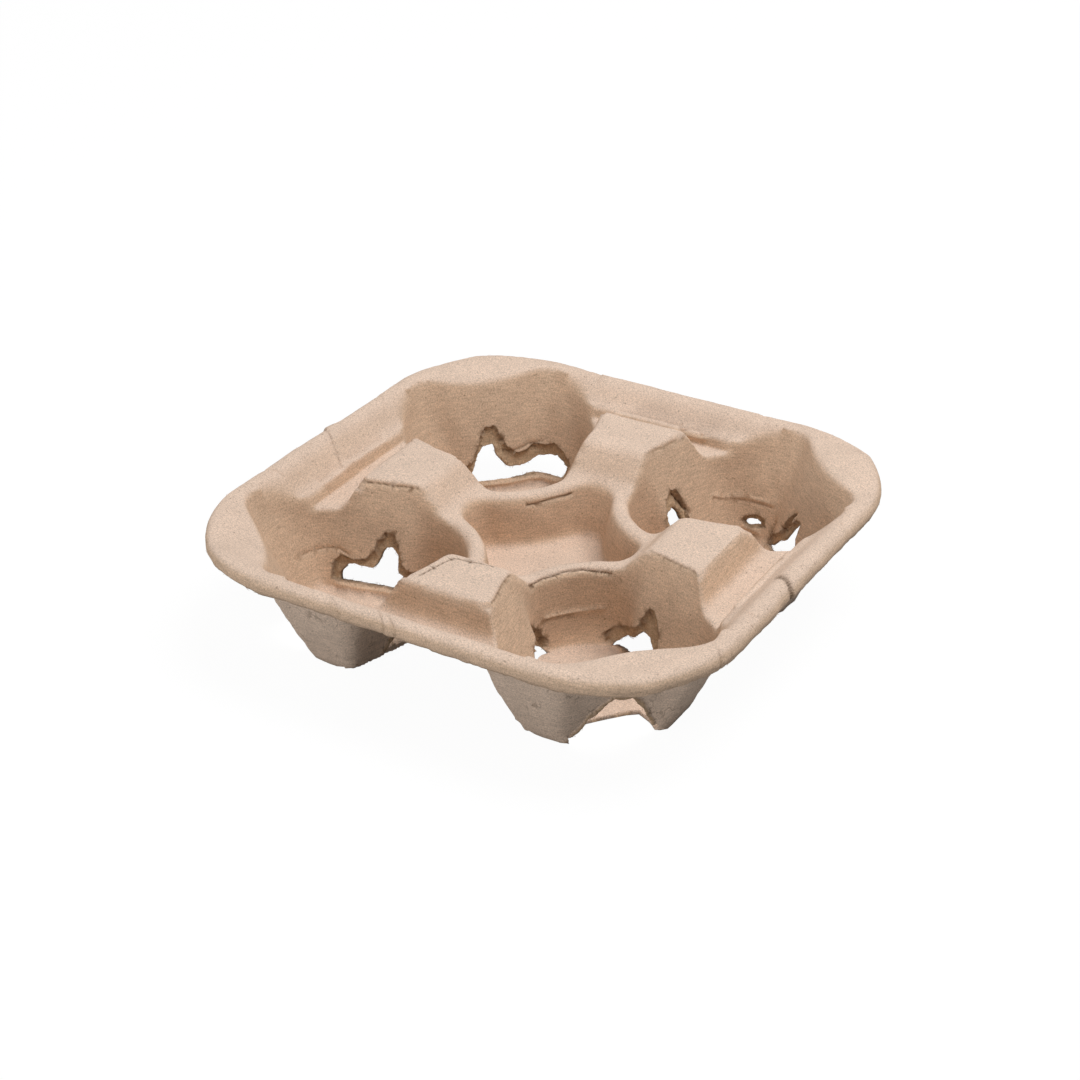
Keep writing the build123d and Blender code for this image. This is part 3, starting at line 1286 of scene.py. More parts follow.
@dataclass(frozen=True)
class RimBreak:
    """Crack across the bead, with the bead displaced on one side of it and painted shade in it."""

    start: tuple[float, float]
    end: tuple[float, float]
    shift: tuple[float, float, float]
    reach: float
    depth: float = 0.9
    width: float = 0.45
    # strength of the painted shade in the crack
    darkness: float = 0.8
    sharpness: float = 0.35
    lead_in: tuple[float, float] = (-3.0, 1.0)
    run_out: tuple[float, float] = (4.0, 8.0)

    def offset(self, points: Array) -> Array:
        """Sideways distance past the crack, and how much each point is on its stretch of bead.

        Args:
            points: Points to look at.

        Returns:
            The two, side by side for each point.
        """
        run = np.subtract(self.end, self.start)
        length = float(np.hypot(*run))
        along = (points[:, :2] - self.start) @ run / length
        past = (points[:, 0] - self.start[0]) * run[1] - (points[:, 1] - self.start[1]) * run[0]
        begun = smooth(*self.lead_in, along)
        ended = smooth(length + self.run_out[0], length + self.run_out[1], along)
        return np.stack([past / length, begun * (1.0 - ended)], axis=1)

    def move(self, points: Array) -> Array:
        """Shift of each point beside the crack.

        Args:
            points: Points to look at.

        Returns:
            One shift for each point.
        """
        past, on_bead = self.offset(points).T
        share = smooth(-self.sharpness, self.sharpness, past)
        share = share * np.exp(-np.maximum(past, 0.0) / self.reach)
        return (share * on_bead)[:, None] * np.array(self.shift)

    def groove(self, points: Array) -> Array:
        """How open the crack is at each point, from 0 to 1."""
        past, on_bead = self.offset(points).T
        return on_bead * np.exp(-((past / self.width) ** 2))


RIM_BREAKS = (
    RimBreak((98.4, -5.5), (108.4, -13.0), shift=(-0.9, -0.2, -0.8), reach=16.0),
    RimBreak(
        (-93.0, -6.5), (-104.5, 0.5), shift=(-0.3, 0.0, 0.9), reach=13.0,
        depth=0.45, width=0.4, darkness=0.25,
    ),
    RimBreak(
        (-8.6, -102.0), (-2.6, -108.3), shift=(0.0, 0.0, 0.3), reach=6.0,
        depth=0.4, width=0.4, darkness=0.35,
    ),
    RimBreak(
        (-3.6, -104.0), (2.4, -108.3), shift=(0.0, 0.0, -0.3), reach=5.0,
        depth=0.3, width=0.35, darkness=0.25,
    ),
    RimBreak(
        (-26.6, -104.6), (-21.0, -108.3), shift=(0.0, 0.0, 0.2), reach=5.0,
        depth=0.25, width=0.4, darkness=0.2,
    ),
    RimBreak(
        (104.5, -64.0), (106.8, -66.5), shift=(0.0, 0.0, 0.0), reach=3.0,
        depth=0.4, width=0.4, darkness=0.35,
    ),
)


# The tray


@dataclass(frozen=True)
class Fineness:
    """How long the edges of the mesh may be, and what counts as near a tear, a line or a bend."""

    tear_edge: float = 0.8
    bend_edge: float = 1.2
    hole_reach: float = 1.4
    patch_reach: float = 0.7
    crease_width: float = 1.0
    crease_share: float = 0.4
    sill_share: float = 0.3
    groove_share: float = 0.02
    most_stretch: float = 2.0
    foot_top: float = -39.0
    bend_step: float = 1.2
    bend_turn: float = 0.36


@dataclass(frozen=True)
class Distortion:
    """Twist that drying left in the tray, and the swelling of its front corner."""

    twist_x: float = 0.015
    twist_y: float = 0.035
    twist_start: float = 80.0
    twist_end: float = 106.0
    twist_top: float = -6.0
    swell: float = 2.6
    swell_start: tuple[float, float] = (98.0, 109.0)
    swell_end: tuple[float, float] = (111.0, 119.0)
    swell_width: float = 15.0
    swell_foot: tuple[float, float] = (-24.0, -5.0)
    swell_lean: float = -0.3


@dataclass(frozen=True)
class PulpSurface:
    """Unevenness of both skins, of the torn ply and of the frayed lip, with its random layers."""

    hole_edge: float = 0.55
    hole_edge_layers: tuple[Layer, ...] = ((11, 1.0, 3.2), (12, 0.35, 1.2))
    hole_edge_calm: tuple[float, float] = (-43.0, -38.0)
    patch_edge_layers: tuple[Layer, ...] = ((13, 0.6, 3.1), (14, 0.25, 1.1))
    patch_edge: tuple[float, float] = (0.03, 0.35)
    patch_depth: float = 1.7
    patch_layers: tuple[Layer, ...] = ((21, 0.45, 2.2), (21, 0.3, 1.1))
    patch_shift: float = 0.8
    # painted shadow along the upper edge of each patch, where the upper ply overhangs
    shade: float = 0.65
    shade_inset: float = 0.1
    shade_width: float = 0.35
    shade_calm: tuple[float, float] = (-44.0, -41.0)
    sill_height: float = 1.2
    # painted shadow just under each sill ridge
    sill_shade: float = 0.35
    sill_shade_drop: float = 1.9
    relief: float = 0.32
    relief_layers: tuple[Layer, ...] = ((21, 1.0, 17.0), (21, 0.18, 2.4))
    dent_layer: Layer = (21, 0.4, 6.0)
    dent_offset: float = 50.0
    lip_start: float = 4.0
    lip_inner: tuple[float, float] = (2.0, 5.0)
    lip_ragged: float = 0.5
    lip_layers: tuple[Layer, ...] = ((21, 1.0, 5.5), (21, 0.6, 1.7))
    wrinkle_squeeze: float = 0.35
    wrinkle_layers: tuple[Layer, ...] = ((21, 0.4, 5.0), (21, 0.25, 1.9))
    pimple_layer: Layer = (21, 0.1, 1.5)
    steep: tuple[float, float] = (0.15, 0.55)


@dataclass(frozen=True)
class FuzzForm:
    """How thickly loose fibres stand on the skin, as shares of their density."""

    everywhere: float = 0.08
    at_holes: float = 6.0
    on_patches: float = 1.5
    under_share: float = 0.4
    fade: tuple[float, float] = (-45.0, -42.0)


@dataclass
class PulpTray:
    """The whole tray: both skins, the torn openings, and the unevenness of pressed pulp."""

    form: TrayForm = field(default_factory=TrayForm)
    fineness: Fineness = Fineness()
    distortion: Distortion = Distortion()
    surface: PulpSurface = PulpSurface()
    fuzz: FuzzForm = FuzzForm()
    underside_steps: int = 7
    underside_move: float = 1.2

    def __post_init__(self) -> None:
        """Lay the creases on the skin."""
        self.creases = [crease.drawn(self) for crease in CREASES + StepLines().creases()]

    def lift(self, points: Array) -> Array:
        """Rise of each point by the twist that drying left in the tray.

        Args:
            points: Points to look at.

        Returns:
            One rise for each point.
        """
        bent = self.distortion
        x, y, z = points.T
        inner = 1.0 - smooth(bent.twist_start, bent.twist_end, np.maximum(np.abs(x), np.abs(y)))
        raised = smooth(self.form.wells.floor, bent.twist_top, z)
        return (bent.twist_x * x + bent.twist_y * y) * inner * raised

    def hole(self, points: Array) -> Array:
        """Distance to the nearest opening, with the raggedness of its edge.

        Args:
            points: Points to look at.

        Returns:
            One distance for each point.
        """
        nearest = np.full(len(points), FAR)
        for tear in TEARS:
            nearest = np.minimum(nearest, tear.hole_distance(points))
        rough = swells(points, *self.surface.hole_edge_layers)
        off_floor = smooth(*self.surface.hole_edge_calm, points[:, 2])
        return nearest + self.surface.hole_edge * rough * off_floor

    def patch(self, points: Array) -> Array:
        """Distance to the nearest patch without its upper ply.

        Args:
            points: Points to look at.

        Returns:
            One distance for each point.
        """
        nearest = np.full(len(points), FAR)
        for tear in TEARS:
            nearest = np.minimum(nearest, tear.patch_distance(points))
        return nearest + swells(points, *self.surface.patch_edge_layers)

    def upper_skin(self) -> Skin:
        """Upper skin with the openings torn out of it."""
        grid = SkinGrid(self.form).points()
        count = len(grid)
        index = np.arange(count * count).reshape(count, count)
        a, b = index[:-1, :-1].ravel(), index[1:, :-1].ravel()
        c, d = index[1:, 1:].ravel(), index[:-1, 1:].ravel()
        flat = grid.reshape(-1, 3)
        short = np.linalg.norm(flat[a] - flat[c], axis=1) < np.linalg.norm(flat[b] - flat[d], axis=1)
        first = np.where(short[:, None], np.stack([a, b, c], 1), np.stack([a, b, d], 1))
        second = np.where(short[:, None], np.stack([a, c, d], 1), np.stack([b, c, d], 1))
        skin = Skin(flat, np.vstack([first, second]))
        for _ in range(2):
            skin = skin.divide(self.longest_edge)
            skin.points = self.form.settle(skin.points, 1)
        skin, _ = skin.split(self.patch(skin.points))
        return skin.cut(self.hole(skin.points))

    def lower_skin(self, upper: Skin) -> Skin:
        """Lower skin, at the sheet's thickness from the upper one and with fuller corners.

        Args:
            upper: The upper skin.

        Returns:
            The lower skin, with the same triangles.
        """
        below = upper.points - upper.outward(2) * self.form.wall
        form, steps = self.form.underside(), self.underside_steps
        return Skin(form.settle(below, steps, self.form.wall, self.underside_move), upper.triangles)

    def longest_edge(self, points: Array) -> Array:
        """Longest edge that is allowed at each point: short ones at tears, cracks and bends.

        Args:
            points: Points to look at.

        Returns:
            One length for each point.
        """
        fine = self.fineness
        near = np.abs(self.hole(points)) < fine.hole_reach
        near |= np.abs(self.patch(points)) < fine.patch_reach
        near |= (self.stretch(points) > fine.most_stretch) & (points[:, 2] < fine.foot_top)
        for crease in self.creases:
            near |= crease.strength(points, fine.crease_width) > fine.crease_share
        for tear in TEARS:
            near |= tear.sill(points) > fine.sill_share
        for rim_break in RIM_BREAKS:
            near |= rim_break.groove(points) > fine.groove_share
        bent = self.turn(points, fine.bend_step) > fine.bend_turn
        return np.where(near, fine.tear_edge, np.where(bent, fine.bend_edge, FAR))

    def turn(self, points: Array, step: float) -> Array:
        """Greatest angle by which the skin turns within a step sideways or up and down.

        Args:
            points: Points to look at.
            step: Length of the step.

        Returns:
            One angle for each point.
        """
        inwards = self.form.inwards(points)
        level = unit(np.stack([inwards[:, 1], -inwards[:, 0], np.zeros(len(points))], axis=1))
        least = np.ones(len(points))
        for way in (level, np.cross(inwards, level)):
            least = np.minimum(least, (inwards * self.form.inwards(points + step * way)).sum(1))
        return np.arccos(np.clip(least, -1.0, 1.0))

    def stretch(self, points: Array) -> Array:
        """How far the lower skin reaches out past the offset of the upper one, as in a foot's corner."""
        below = points + self.form.inwards(points) * self.form.wall
        return self.form.wall - self.form.underside().air(below)

    def warped(self, points: Array) -> Array:
        """Points with the twist of the tray, its swollen front corner and the breaks in its rim.

        Args:
            points: Points of a skin.

        Returns:
            The moved points.
        """
        bent = self.distortion
        x, y, z = points.T
        diagonal, off = (x - y) * math.sqrt(0.5), (x + y) * math.sqrt(0.5)
        mouth = smooth(*bent.swell_start, diagonal) * (1.0 - smooth(*bent.swell_end, diagonal))
        swell = bent.swell * mouth * np.exp(-((off / bent.swell_width) ** 2))
        swell = swell * smooth(*bent.swell_foot, z)
        outwards = bent.swell_lean * swell
        moved = points + np.stack([outwards, -outwards, self.lift(points) + swell], axis=1)
        for rim_break in RIM_BREAKS:
            moved += rim_break.move(points)
        return moved

    def lip(self, bare: Array) -> Array:
        """How much each point belongs to the lower edge of the lip.

        Args:
            bare: Points of the upper skin before the tray was warped.

        Returns:
            A share from 0 to 1 for each point.
        """
        rim = self.form.rim
        low = smooth(self.surface.lip_start, rim.lip_depth, -bare[:, 2])
        edge = rim.inner_edge(np.abs(bare[:, 0]), np.abs(bare[:, 1]))
        return low * smooth(*self.surface.lip_inner, edge)

    def rise(self, bare: Array, patch: Array) -> Array:
        """How far each point of the upper skin stands over the pressed form.

        Args:
            bare: Points of the upper skin before the tray was warped.
            patch: Share of each point that is without its upper ply.

        Returns:
            One height for each point.
        """
        surface = self.surface
        dents = swells(bare + surface.dent_offset, surface.dent_layer)
        rise = surface.relief * (swells(bare, *surface.relief_layers) + dents)
        for crease in self.creases:
            rise -= crease.depth * crease.strength(bare, crease.width)
        for rim_break in RIM_BREAKS:
            rise -= rim_break.depth * rim_break.groove(bare)
        sill = np.maximum.reduce([tear.sill(bare) for tear in TEARS])
        torn = patch * (swells(bare, *surface.patch_layers) - surface.patch_depth)
        return rise + surface.sill_height * sill + torn

    def shade(self, bare: Array) -> Array:
        """Painted shade in cracks, creases, valleys, along patch edges and under sills.

        Args:
            bare: Points of the upper skin before the tray was warped.

        Returns:
            A darkness for each point.
        """
        surface = self.surface
        edge = (self.patch(bare) + surface.shade_inset) / surface.shade_width
        shade = surface.shade * np.exp(-(edge**2)) * smooth(*surface.shade_calm, bare[:, 2])
        for crease in self.creases:
            line = crease.strength(bare, 0.6 * crease.width)
            shade = np.maximum(shade, crease.darkness * line)
        for rim_break in RIM_BREAKS:
            shade = np.maximum(shade, rim_break.darkness * rim_break.groove(bare))
        for tear in TEARS:
            under_sill = tear.sill(bare + (0.0, 0.0, surface.sill_shade_drop)) ** 3
            shade = np.maximum(shade, surface.sill_shade * under_sill)
        return shade

    def fuzz_at(self, bare: Array, patch: Array) -> Array:
        """How thickly loose fibres stand at each point."""
        fuzz, holes = self.fuzz, np.exp(-(self.hole(bare) ** 2))
        amount = fuzz.everywhere + fuzz.at_holes * holes + fuzz.on_patches * patch + self.lip(bare)
        return amount * smooth(*fuzz.fade, bare[:, 2])

    def build(self, finish: bpy.types.Material) -> bpy.types.Object:
        """Closed mesh of the tray, with the attributes that its finish reads.

        Args:
            finish: Material of the tray.

        Returns:
            The tray, linked to the scene.
        """
        surface = self.surface
        skin = self.upper_skin()
        bare = skin.points
        under = self.lower_skin(skin)
        skin = Skin(self.warped(bare), skin.triangles)
        under = Skin(self.warped(under.points), skin.triangles)
        patch = smooth(*surface.patch_edge, -self.patch(bare))
        ways = skin.outward(1)
        upper = skin.points + ways * self.rise(bare, patch)[:, None]
        squeezed = bare * (1.0, 1.0, surface.wrinkle_squeeze)
        wrinkle = swells(squeezed, *surface.wrinkle_layers) + swells(bare, surface.pimple_layer)
        lower = under.points - under.outward(1) * (wrinkle + patch * surface.patch_shift)[:, None]
        frayed = surface.lip_ragged * self.lip(bare) * swells(bare, *surface.lip_layers)
        upper[:, 2] += frayed
        lower[:, 2] = np.maximum(lower[:, 2] + frayed, -self.form.height)
        # steepness of the skin, which the finish uses for painted shade on walls and for fibre lines
        steep = smooth(*surface.steep, 1.0 - np.abs(ways[:, 2]))
        fuzz = self.fuzz_at(bare, patch)
        points, triangles = self.closed(skin, upper, lower)
        mesh = bpy.data.meshes.new("pulp_tray")
        mesh.from_pydata((points * MM).tolist(), [], triangles.tolist())
        none, full = np.zeros(len(bare)), np.ones(len(bare))
        values = {
            "underside": (none, full),
            "torn": (patch, patch),
            # painted shade in cracks, creases and valleys, along patch edges and under sills
            "painted_shade_and_fleck": (self.shade(bare), none),
            "steep": (steep, steep),
            "fuzz": (fuzz, self.fuzz.under_share * fuzz),
        }
        for name, sides in values.items():
            attribute = mesh.attributes.new(name, "FLOAT", "POINT")
            attribute.data.foreach_set("value", np.concatenate(sides).astype(np.float32))
        mesh.shade_smooth()
        mesh.materials.append(finish)
        piece = bpy.data.objects.new("pulp_tray", mesh)
        bpy.context.scene.collection.objects.link(piece)
        log.info("tray: %d triangles", len(triangles))
        return piece

    def closed(self, skin: Skin, upper: Array, lower: Array) -> tuple[Array, Array]:
        """Both skins as one closed mesh that stands on the ground, joined along every border.

        Args:
            skin: Skin that gives the triangles.
            upper: Points of the upper skin.
            lower: Points of the lower skin.

        Returns:
            All points, and all triangles.
        """
        count = len(upper)
        border = skin.border()
        wall_one = np.stack([border[:, 1], border[:, 0], border[:, 0] + count], axis=1)
        wall_two = np.stack([border[:, 1], border[:, 0] + count, border[:, 1] + count], axis=1)
        triangles = [skin.triangles, skin.triangles[:, ::-1] + count, wall_one, wall_two]
        return np.vstack([upper, lower]) + (0.0, 0.0, self.form.height), np.vstack(triangles)


# Node trees

Socket = bpy.types.NodeSocket
Tree = bpy.types.NodeTree
Shade = tuple[float, float, float, float]


def feed(tree: Tree, socket: Socket, value: object) -> None:
    """Give a socket another node's output, or else a value of its own.

    Args:
        tree: Tree that the socket is in.
        socket: Input to fill.
        value: Output of another node, or a plain value.
    """
    if isinstance(value, bpy.types.NodeSocket):
        tree.links.new(value, socket)
    else:
        socket.default_value = value


def add_node(tree: Tree, kind: str, inputs: dict[str | int, object], **options: str) -> bpy.types.Node:
    """Add a node to a tree.

    Args:
        tree: Tree that gets the node.
        kind: Blender's name for the kind of node.
        inputs: Output or value for each input, by the input's name or place.
        options: Settings of the node itself.

    Returns:
        The node.
    """
    node = tree.nodes.new(kind)
    for name, setting in options.items():
        setattr(node, name, setting)
    for name, value in inputs.items():
        feed(tree, node.inputs[name], value)
    return node


def product(tree: Tree, first: Socket, second: Socket | float) -> Socket:
    """One value multiplied by another."""
    node = add_node(tree, "ShaderNodeMath", {0: first, 1: second}, operation="MULTIPLY")
    return node.outputs["Value"]


# Loose fibres


@dataclass(frozen=True)
class LooseFibres:
    """Short curled fibres that stand off the skin, most of them along the torn edges."""

    length: float = 1.1
    thickness: float = 0.07
    curl: float = 0.35
    density: float = 110000.0
    seed: int = 5
    segments: int = 4
    sides: int = 3
    smallest: tuple[float, float, float] = (0.5, 0.5, 0.5)
    largest: tuple[float, float, float] = (1.2, 1.0, 1.0)
    least_turn: tuple[float, float, float] = (-0.3, -0.5, 0.0)
    most_turn: tuple[float, float, float] = (0.3, 0.1, math.tau)

    def build(self, tray: bpy.types.Object, finish: bpy.types.Material) -> bpy.types.Object:
        """Scatter the fibres over the tray and make one plain mesh of them.

        Args:
            tray: Piece that the fibres stand on, with its attribute for how many grow where.
            finish: Material of the fibres.

        Returns:
            The piece of all the fibres.
        """
        carrier = bpy.data.objects.new("fibre_carrier", tray.data)
        bpy.context.scene.collection.objects.link(carrier)
        modifier = carrier.modifiers.new("fibres", "NODES")
        tree = self.tree(finish)
        modifier.node_group = tree
        sizes = {
            "Length": self.length * MM,
            "Thickness": self.thickness * MM,
            "Curl": self.curl,
            "Density": self.density,
            "Seed": self.seed,
        }
        for item in tree.interface.items_tree:
            if item.in_out == "INPUT" and item.name in sizes:
                modifier[item.identifier] = sizes[item.name]
        graph = bpy.context.evaluated_depsgraph_get()
        mesh = bpy.data.meshes.new_from_object(carrier.evaluated_get(graph), depsgraph=graph)
        carrier.modifiers.remove(modifier)
        bpy.data.objects.remove(carrier)
        mesh.name = "loose_fibres"
        piece = bpy.data.objects.new("loose_fibres", mesh)
        bpy.context.scene.collection.objects.link(piece)
        log.info("loose fibres: %d faces", len(mesh.polygons))
        return piece

    def tree(self, finish: bpy.types.Material) -> Tree:
        """Node tree that grows the fibres.

        Args:
            finish: Material of the fibres.

        Returns:
            The tree, with the sizes of the fibres as its inputs.
        """
        tree = bpy.data.node_groups.new("loose_fibres", "GeometryNodeTree")
        kinds = {"Geometry": "Geometry", "Seed": "Int"}
        for name in ("Geometry", "Length", "Thickness", "Curl", "Density", "Seed"):
            kind = "NodeSocket" + kinds.get(name, "Float")
            tree.interface.new_socket(name, in_out="INPUT", socket_type=kind)
        tree.interface.new_socket("Geometry", in_out="OUTPUT", socket_type="NodeSocketGeometry")
        given = tree.nodes.new("NodeGroupInput").outputs
        roots = self.roots(tree, given)
        rows = {
            "Points": roots.outputs["Points"],
            "Rotation": roots.outputs["Rotation"],
            "Instance": self.fibre(tree, given),
            "Scale": self.random(tree, self.smallest, self.largest),
        }
        placed = add_node(tree, "GeometryNodeInstanceOnPoints", rows).outputs["Instances"]
        turn = self.random(tree, self.least_turn, self.most_turn)
        turned = add_node(tree, "GeometryNodeRotateInstances", {"Instances": placed, "Rotation": turn})
        joined = add_node(tree, "GeometryNodeRealizeInstances", {"Geometry": turned.outputs["Instances"]})
        dressing = {"Geometry": joined.outputs["Geometry"], "Material": finish}
        dressed = add_node(tree, "GeometryNodeSetMaterial", dressing)
        add_node(tree, "NodeGroupOutput", {"Geometry": dressed.outputs["Geometry"]})
        return tree

    def roots(self, tree: Tree, given: bpy.types.NodeOutputs) -> bpy.types.Node:
        """Points on the skin where fibres stand, crowded by the skin's own attribute.

        Args:
            tree: Tree of the fibres.
            given: Inputs of the tree.

        Returns:
            The node that scatters the points.
        """
        fuzz = add_node(tree, "GeometryNodeInputNamedAttribute", {"Name": "fuzz"})
        crowd = product(tree, fuzz.outputs["Attribute"], given["Density"])
        inputs = {"Mesh": given["Geometry"], "Density": crowd, "Seed": given["Seed"]}
        return add_node(tree, "GeometryNodeDistributePointsOnFaces", inputs)

    def fibre(self, tree: Tree, given: bpy.types.NodeOutputs) -> Socket:
        """One curled fibre, closed at both ends.

        Args:
            tree: Tree of the fibres.
            given: Inputs of the tree.

        Returns:
            The mesh of the fibre.
        """
        lift = product(tree, given["Length"], given["Curl"])
        bend = add_node(tree, "ShaderNodeCombineXYZ", {"Y": lift, "Z": lift})
        end = add_node(tree, "ShaderNodeCombineXYZ", {"X": given["Length"]})
        line = {
            "Resolution": self.segments,
            "Start": (0.0, 0.0, 0.0),
            "Middle": bend.outputs["Vector"],
            "End": end.outputs["Vector"],
        }
        curve = add_node(tree, "GeometryNodeCurveQuadraticBezier", line)
        circle = {"Resolution": self.sides, "Radius": given["Thickness"]}
        profile = add_node(tree, "GeometryNodeCurvePrimitiveCircle", circle)
        skin = {
            "Curve": curve.outputs["Curve"],
            "Profile Curve": profile.outputs["Curve"],
            "Fill Caps": True,
        }
        return add_node(tree, "GeometryNodeCurveToMesh", skin).outputs["Mesh"]

    def random(
        self, tree: Tree, low: tuple[float, float, float], high: tuple[float, float, float]
    ) -> Socket:
        """Random vector between two limits."""
        limits = {"Min": low, "Max": high}
        return add_node(tree, "FunctionNodeRandomValue", limits, data_type="FLOAT_VECTOR").outputs["Value"]


# Finishes and the studio


@dataclass(frozen=True)
class PulpFinish:
    """Dry pressed paper pulp: matt, finely speckled, darker where torn, with painted shade."""

    base: Shade = (0.76, 0.585, 0.465, 1.0)
    # painted shade: steep walls darker and browner than the tops, as walls in shade look
    wall: Shade = (0.66, 0.475, 0.335, 1.0)
    under: Shade = (0.70, 0.545, 0.43, 1.0)
    torn: Shade = (0.52, 0.365, 0.235, 1.0)
    # near-black brown of the pulp's real dark flecks, also used for painted shade in cracks, creases,
    # valleys, wrinkles, under sills and along patch edges
    painted_shade_and_fleck: Shade = (0.13, 0.075, 0.04, 1.0)
    roughness: float = 0.9
    gloss: float = 0.25
    speckle_scale: float = 1900.0
    speckle: float = 0.25
    line_scale: float = 1500.0
    line_stretch: tuple[float, float, float] = (0.12, 0.12, 1.0)
    line: float = 0.09
    cloud_scale: float = 90.0
    cloud: float = 0.04
    fleck_scale: float = 1100.0
    fleck_range: tuple[float, float] = (0.76, 0.84)
    fleck: float = 0.45
    # pattern and strength of the painted shade in thin wrinkles on the underside
    wrinkle_scale: float = 190.0
    wrinkle_stretch: tuple[float, float, float] = (1.0, 1.0, 0.4)
    wrinkle_spread: float = 0.016
    wrinkle_range: tuple[float, float] = (0.48, 0.60)
    wrinkle: float = 0.38
    pattern_range: tuple[float, float] = (0.3, 0.7)
    bumps: tuple[float, float] = (0.00010, 0.0004)


@dataclass
class PulpMaterial:
    """Node tree of the pulp, built from its finish."""

    finish: PulpFinish = PulpFinish()

    def build(self) -> bpy.types.Material:
        """Make the material."""
        finish = self.finish
        material = bpy.data.materials.new("pulp")
        material.use_nodes = True
        self.tree = material.node_tree
        place = add_node(self.tree, "ShaderNodeTexCoord", {}).outputs["Object"]
        speckle = self.noise(place, finish.speckle_scale, 3.0)
        cloud = self.noise(place, finish.cloud_scale, 2.0)
        lines = self.noise(self.stretched(place, finish.line_stretch), finish.line_scale, 1.0)
        flecks = self.ramp(self.noise(place, finish.fleck_scale, 0.0), *finish.fleck_range)
        colour = finish.base
        # the wall colour on steep faces is painted shade
        for other, name in ((finish.wall, "steep"), (finish.under, "underside"), (finish.torn, "torn")):
            colour = self.blend(colour, other, self.attribute(name))
        colour = self.shaded(colour, speckle, finish.speckle)
        colour = self.shaded(colour, cloud, finish.cloud)
        lined = self.shaded(colour, lines, finish.line)
        colour = self.blend(colour, lined, self.attribute("steep"))
        # the dark flecks are the pulp's own; the wrinkle lines and the stored attribute are painted shade
        for share in (
            product(self.tree, flecks, finish.fleck),
            self.painted_wrinkle_shade(place),
            self.attribute("painted_shade_and_fleck"),
        ):
            colour = self.blend(colour, finish.painted_shade_and_fleck, share)
        shader = self.tree.nodes["Principled BSDF"]
        for name, value in (
            ("Roughness", finish.roughness),
            ("Specular IOR Level", finish.gloss),
            ("Base Color", colour),
            ("Normal", self.relief(speckle, cloud)),
        ):
            feed(self.tree, shader.inputs[name], value)
        return material

    def noise(self, place: Socket, scale: float, detail: float) -> Socket:
        """Noise at a scale, on the given coordinates."""
        inputs = {"Vector": place, "Scale": scale, "Detail": detail}
        return add_node(self.tree, "ShaderNodeTexNoise", inputs).outputs["Fac"]

    def stretched(self, place: Socket, scale: tuple[float, float, float]) -> Socket:
        """Coordinates that draw a pattern out along the axes with a small scale."""
        inputs = {"Vector": place, "Scale": scale}
        return add_node(self.tree, "ShaderNodeMapping", inputs).outputs["Vector"]

    def painted_wrinkle_shade(self, place: Socket) -> Socket:
        """Painted shade in thin upright wrinkles here and there on the underside.

        Args:
            place: Coordinates of the surface.

        Returns:
            How much painted shade the wrinkles give at each place.
        """
        finish = self.finish
        folds = self.noise(self.stretched(place, finish.wrinkle_stretch), finish.wrinkle_scale, 2.0)
        band = {0: folds, 1: 0.5, 2: finish.wrinkle_spread}
        middle = add_node(self.tree, "ShaderNodeMath", band, operation="COMPARE").outputs["Value"]
        parts = self.ramp(self.noise(place, finish.cloud_scale, 2.0), *finish.wrinkle_range)
        shown = product(self.tree, middle, parts)
        shown = product(self.tree, shown, self.attribute("underside"))
        return product(self.tree, shown, finish.wrinkle)

    def attribute(self, name: str) -> Socket:
        """Value stored with the mesh."""
        return add_node(self.tree, "ShaderNodeAttribute", {}, attribute_name=name).outputs["Fac"]

    def blend(self, first: Socket | Shade, second: Socket | Shade, share: Socket) -> Socket:
        """Mix of two colours.

        Args:
            first: Colour where the share is 0.
            second: Colour where the share is 1.
            share: Share of the second colour.

        Returns:
            The mixed colour.
        """
        node = add_node(self.tree, "ShaderNodeMix", {}, data_type="RGBA")
        sockets = {socket.identifier: socket for socket in node.inputs}
        for name, value in (("A_Color", first), ("B_Color", second), ("Factor_Float", share)):
            feed(self.tree, sockets[name], value)
        return next(socket for socket in node.outputs if socket.identifier == "Result_Color")

    def ramp(
        self, value: Socket, low: float, high: float, first: float = 0.0, last: float = 1.0
    ) -> Socket:
        """Value moved from one range to another, and held there."""
        inputs = {"Value": value, "From Min": low, "From Max": high, "To Min": first, "To Max": last}
        return add_node(self.tree, "ShaderNodeMapRange", inputs).outputs["Result"]

    def shaded(self, colour: Socket, pattern: Socket, amount: float) -> Socket:
        """Colour made lighter and darker by a pattern.

        Args:
            colour: Colour to start from.
            pattern: Noise that goes over it.
            amount: Largest change, as a share of the colour.

        Returns:
            The patterned colour.
        """
        level = self.ramp(pattern, *self.finish.pattern_range, 1.0 - amount, 1.0 + amount)
        inputs = {0: colour, "Scale": level}
        return add_node(self.tree, "ShaderNodeVectorMath", inputs, operation="SCALE").outputs["Vector"]

    def relief(self, *patterns: Socket) -> Socket:
        """Bumps of the fibre surface, from the finest pattern to the coarsest.

        Args:
            patterns: Noise of each layer of bumps.

        Returns:
            The direction of the bumped surface.
        """
        inputs = {}
        for pattern, distance in zip(patterns, self.finish.bumps):
            inputs.update({"Height": pattern, "Distance": distance})
            inputs["Normal"] = add_node(self.tree, "ShaderNodeBump", inputs).outputs["Normal"]
        return inputs["Normal"]


@dataclass(frozen=True)
class Lamp:
    """Square soft lamp that faces the tray."""

    name: str
    place: tuple[float, float, float]
    size: float
    watts: float

    def build(self) -> None:
        """Hang the lamp at its place."""
        data = bpy.data.lights.new(self.name, "AREA")
        data.shape = "SQUARE"
        data.size = self.size
        data.energy = self.watts
        lamp = bpy.data.objects.new(self.name, data)
        bpy.context.scene.collection.objects.link(lamp)
        lamp.location = self.place
        lamp.rotation_mode = "QUATERNION"
        lamp.rotation_quaternion = (-Vector(self.place)).to_track_quat("-Z", "Y")


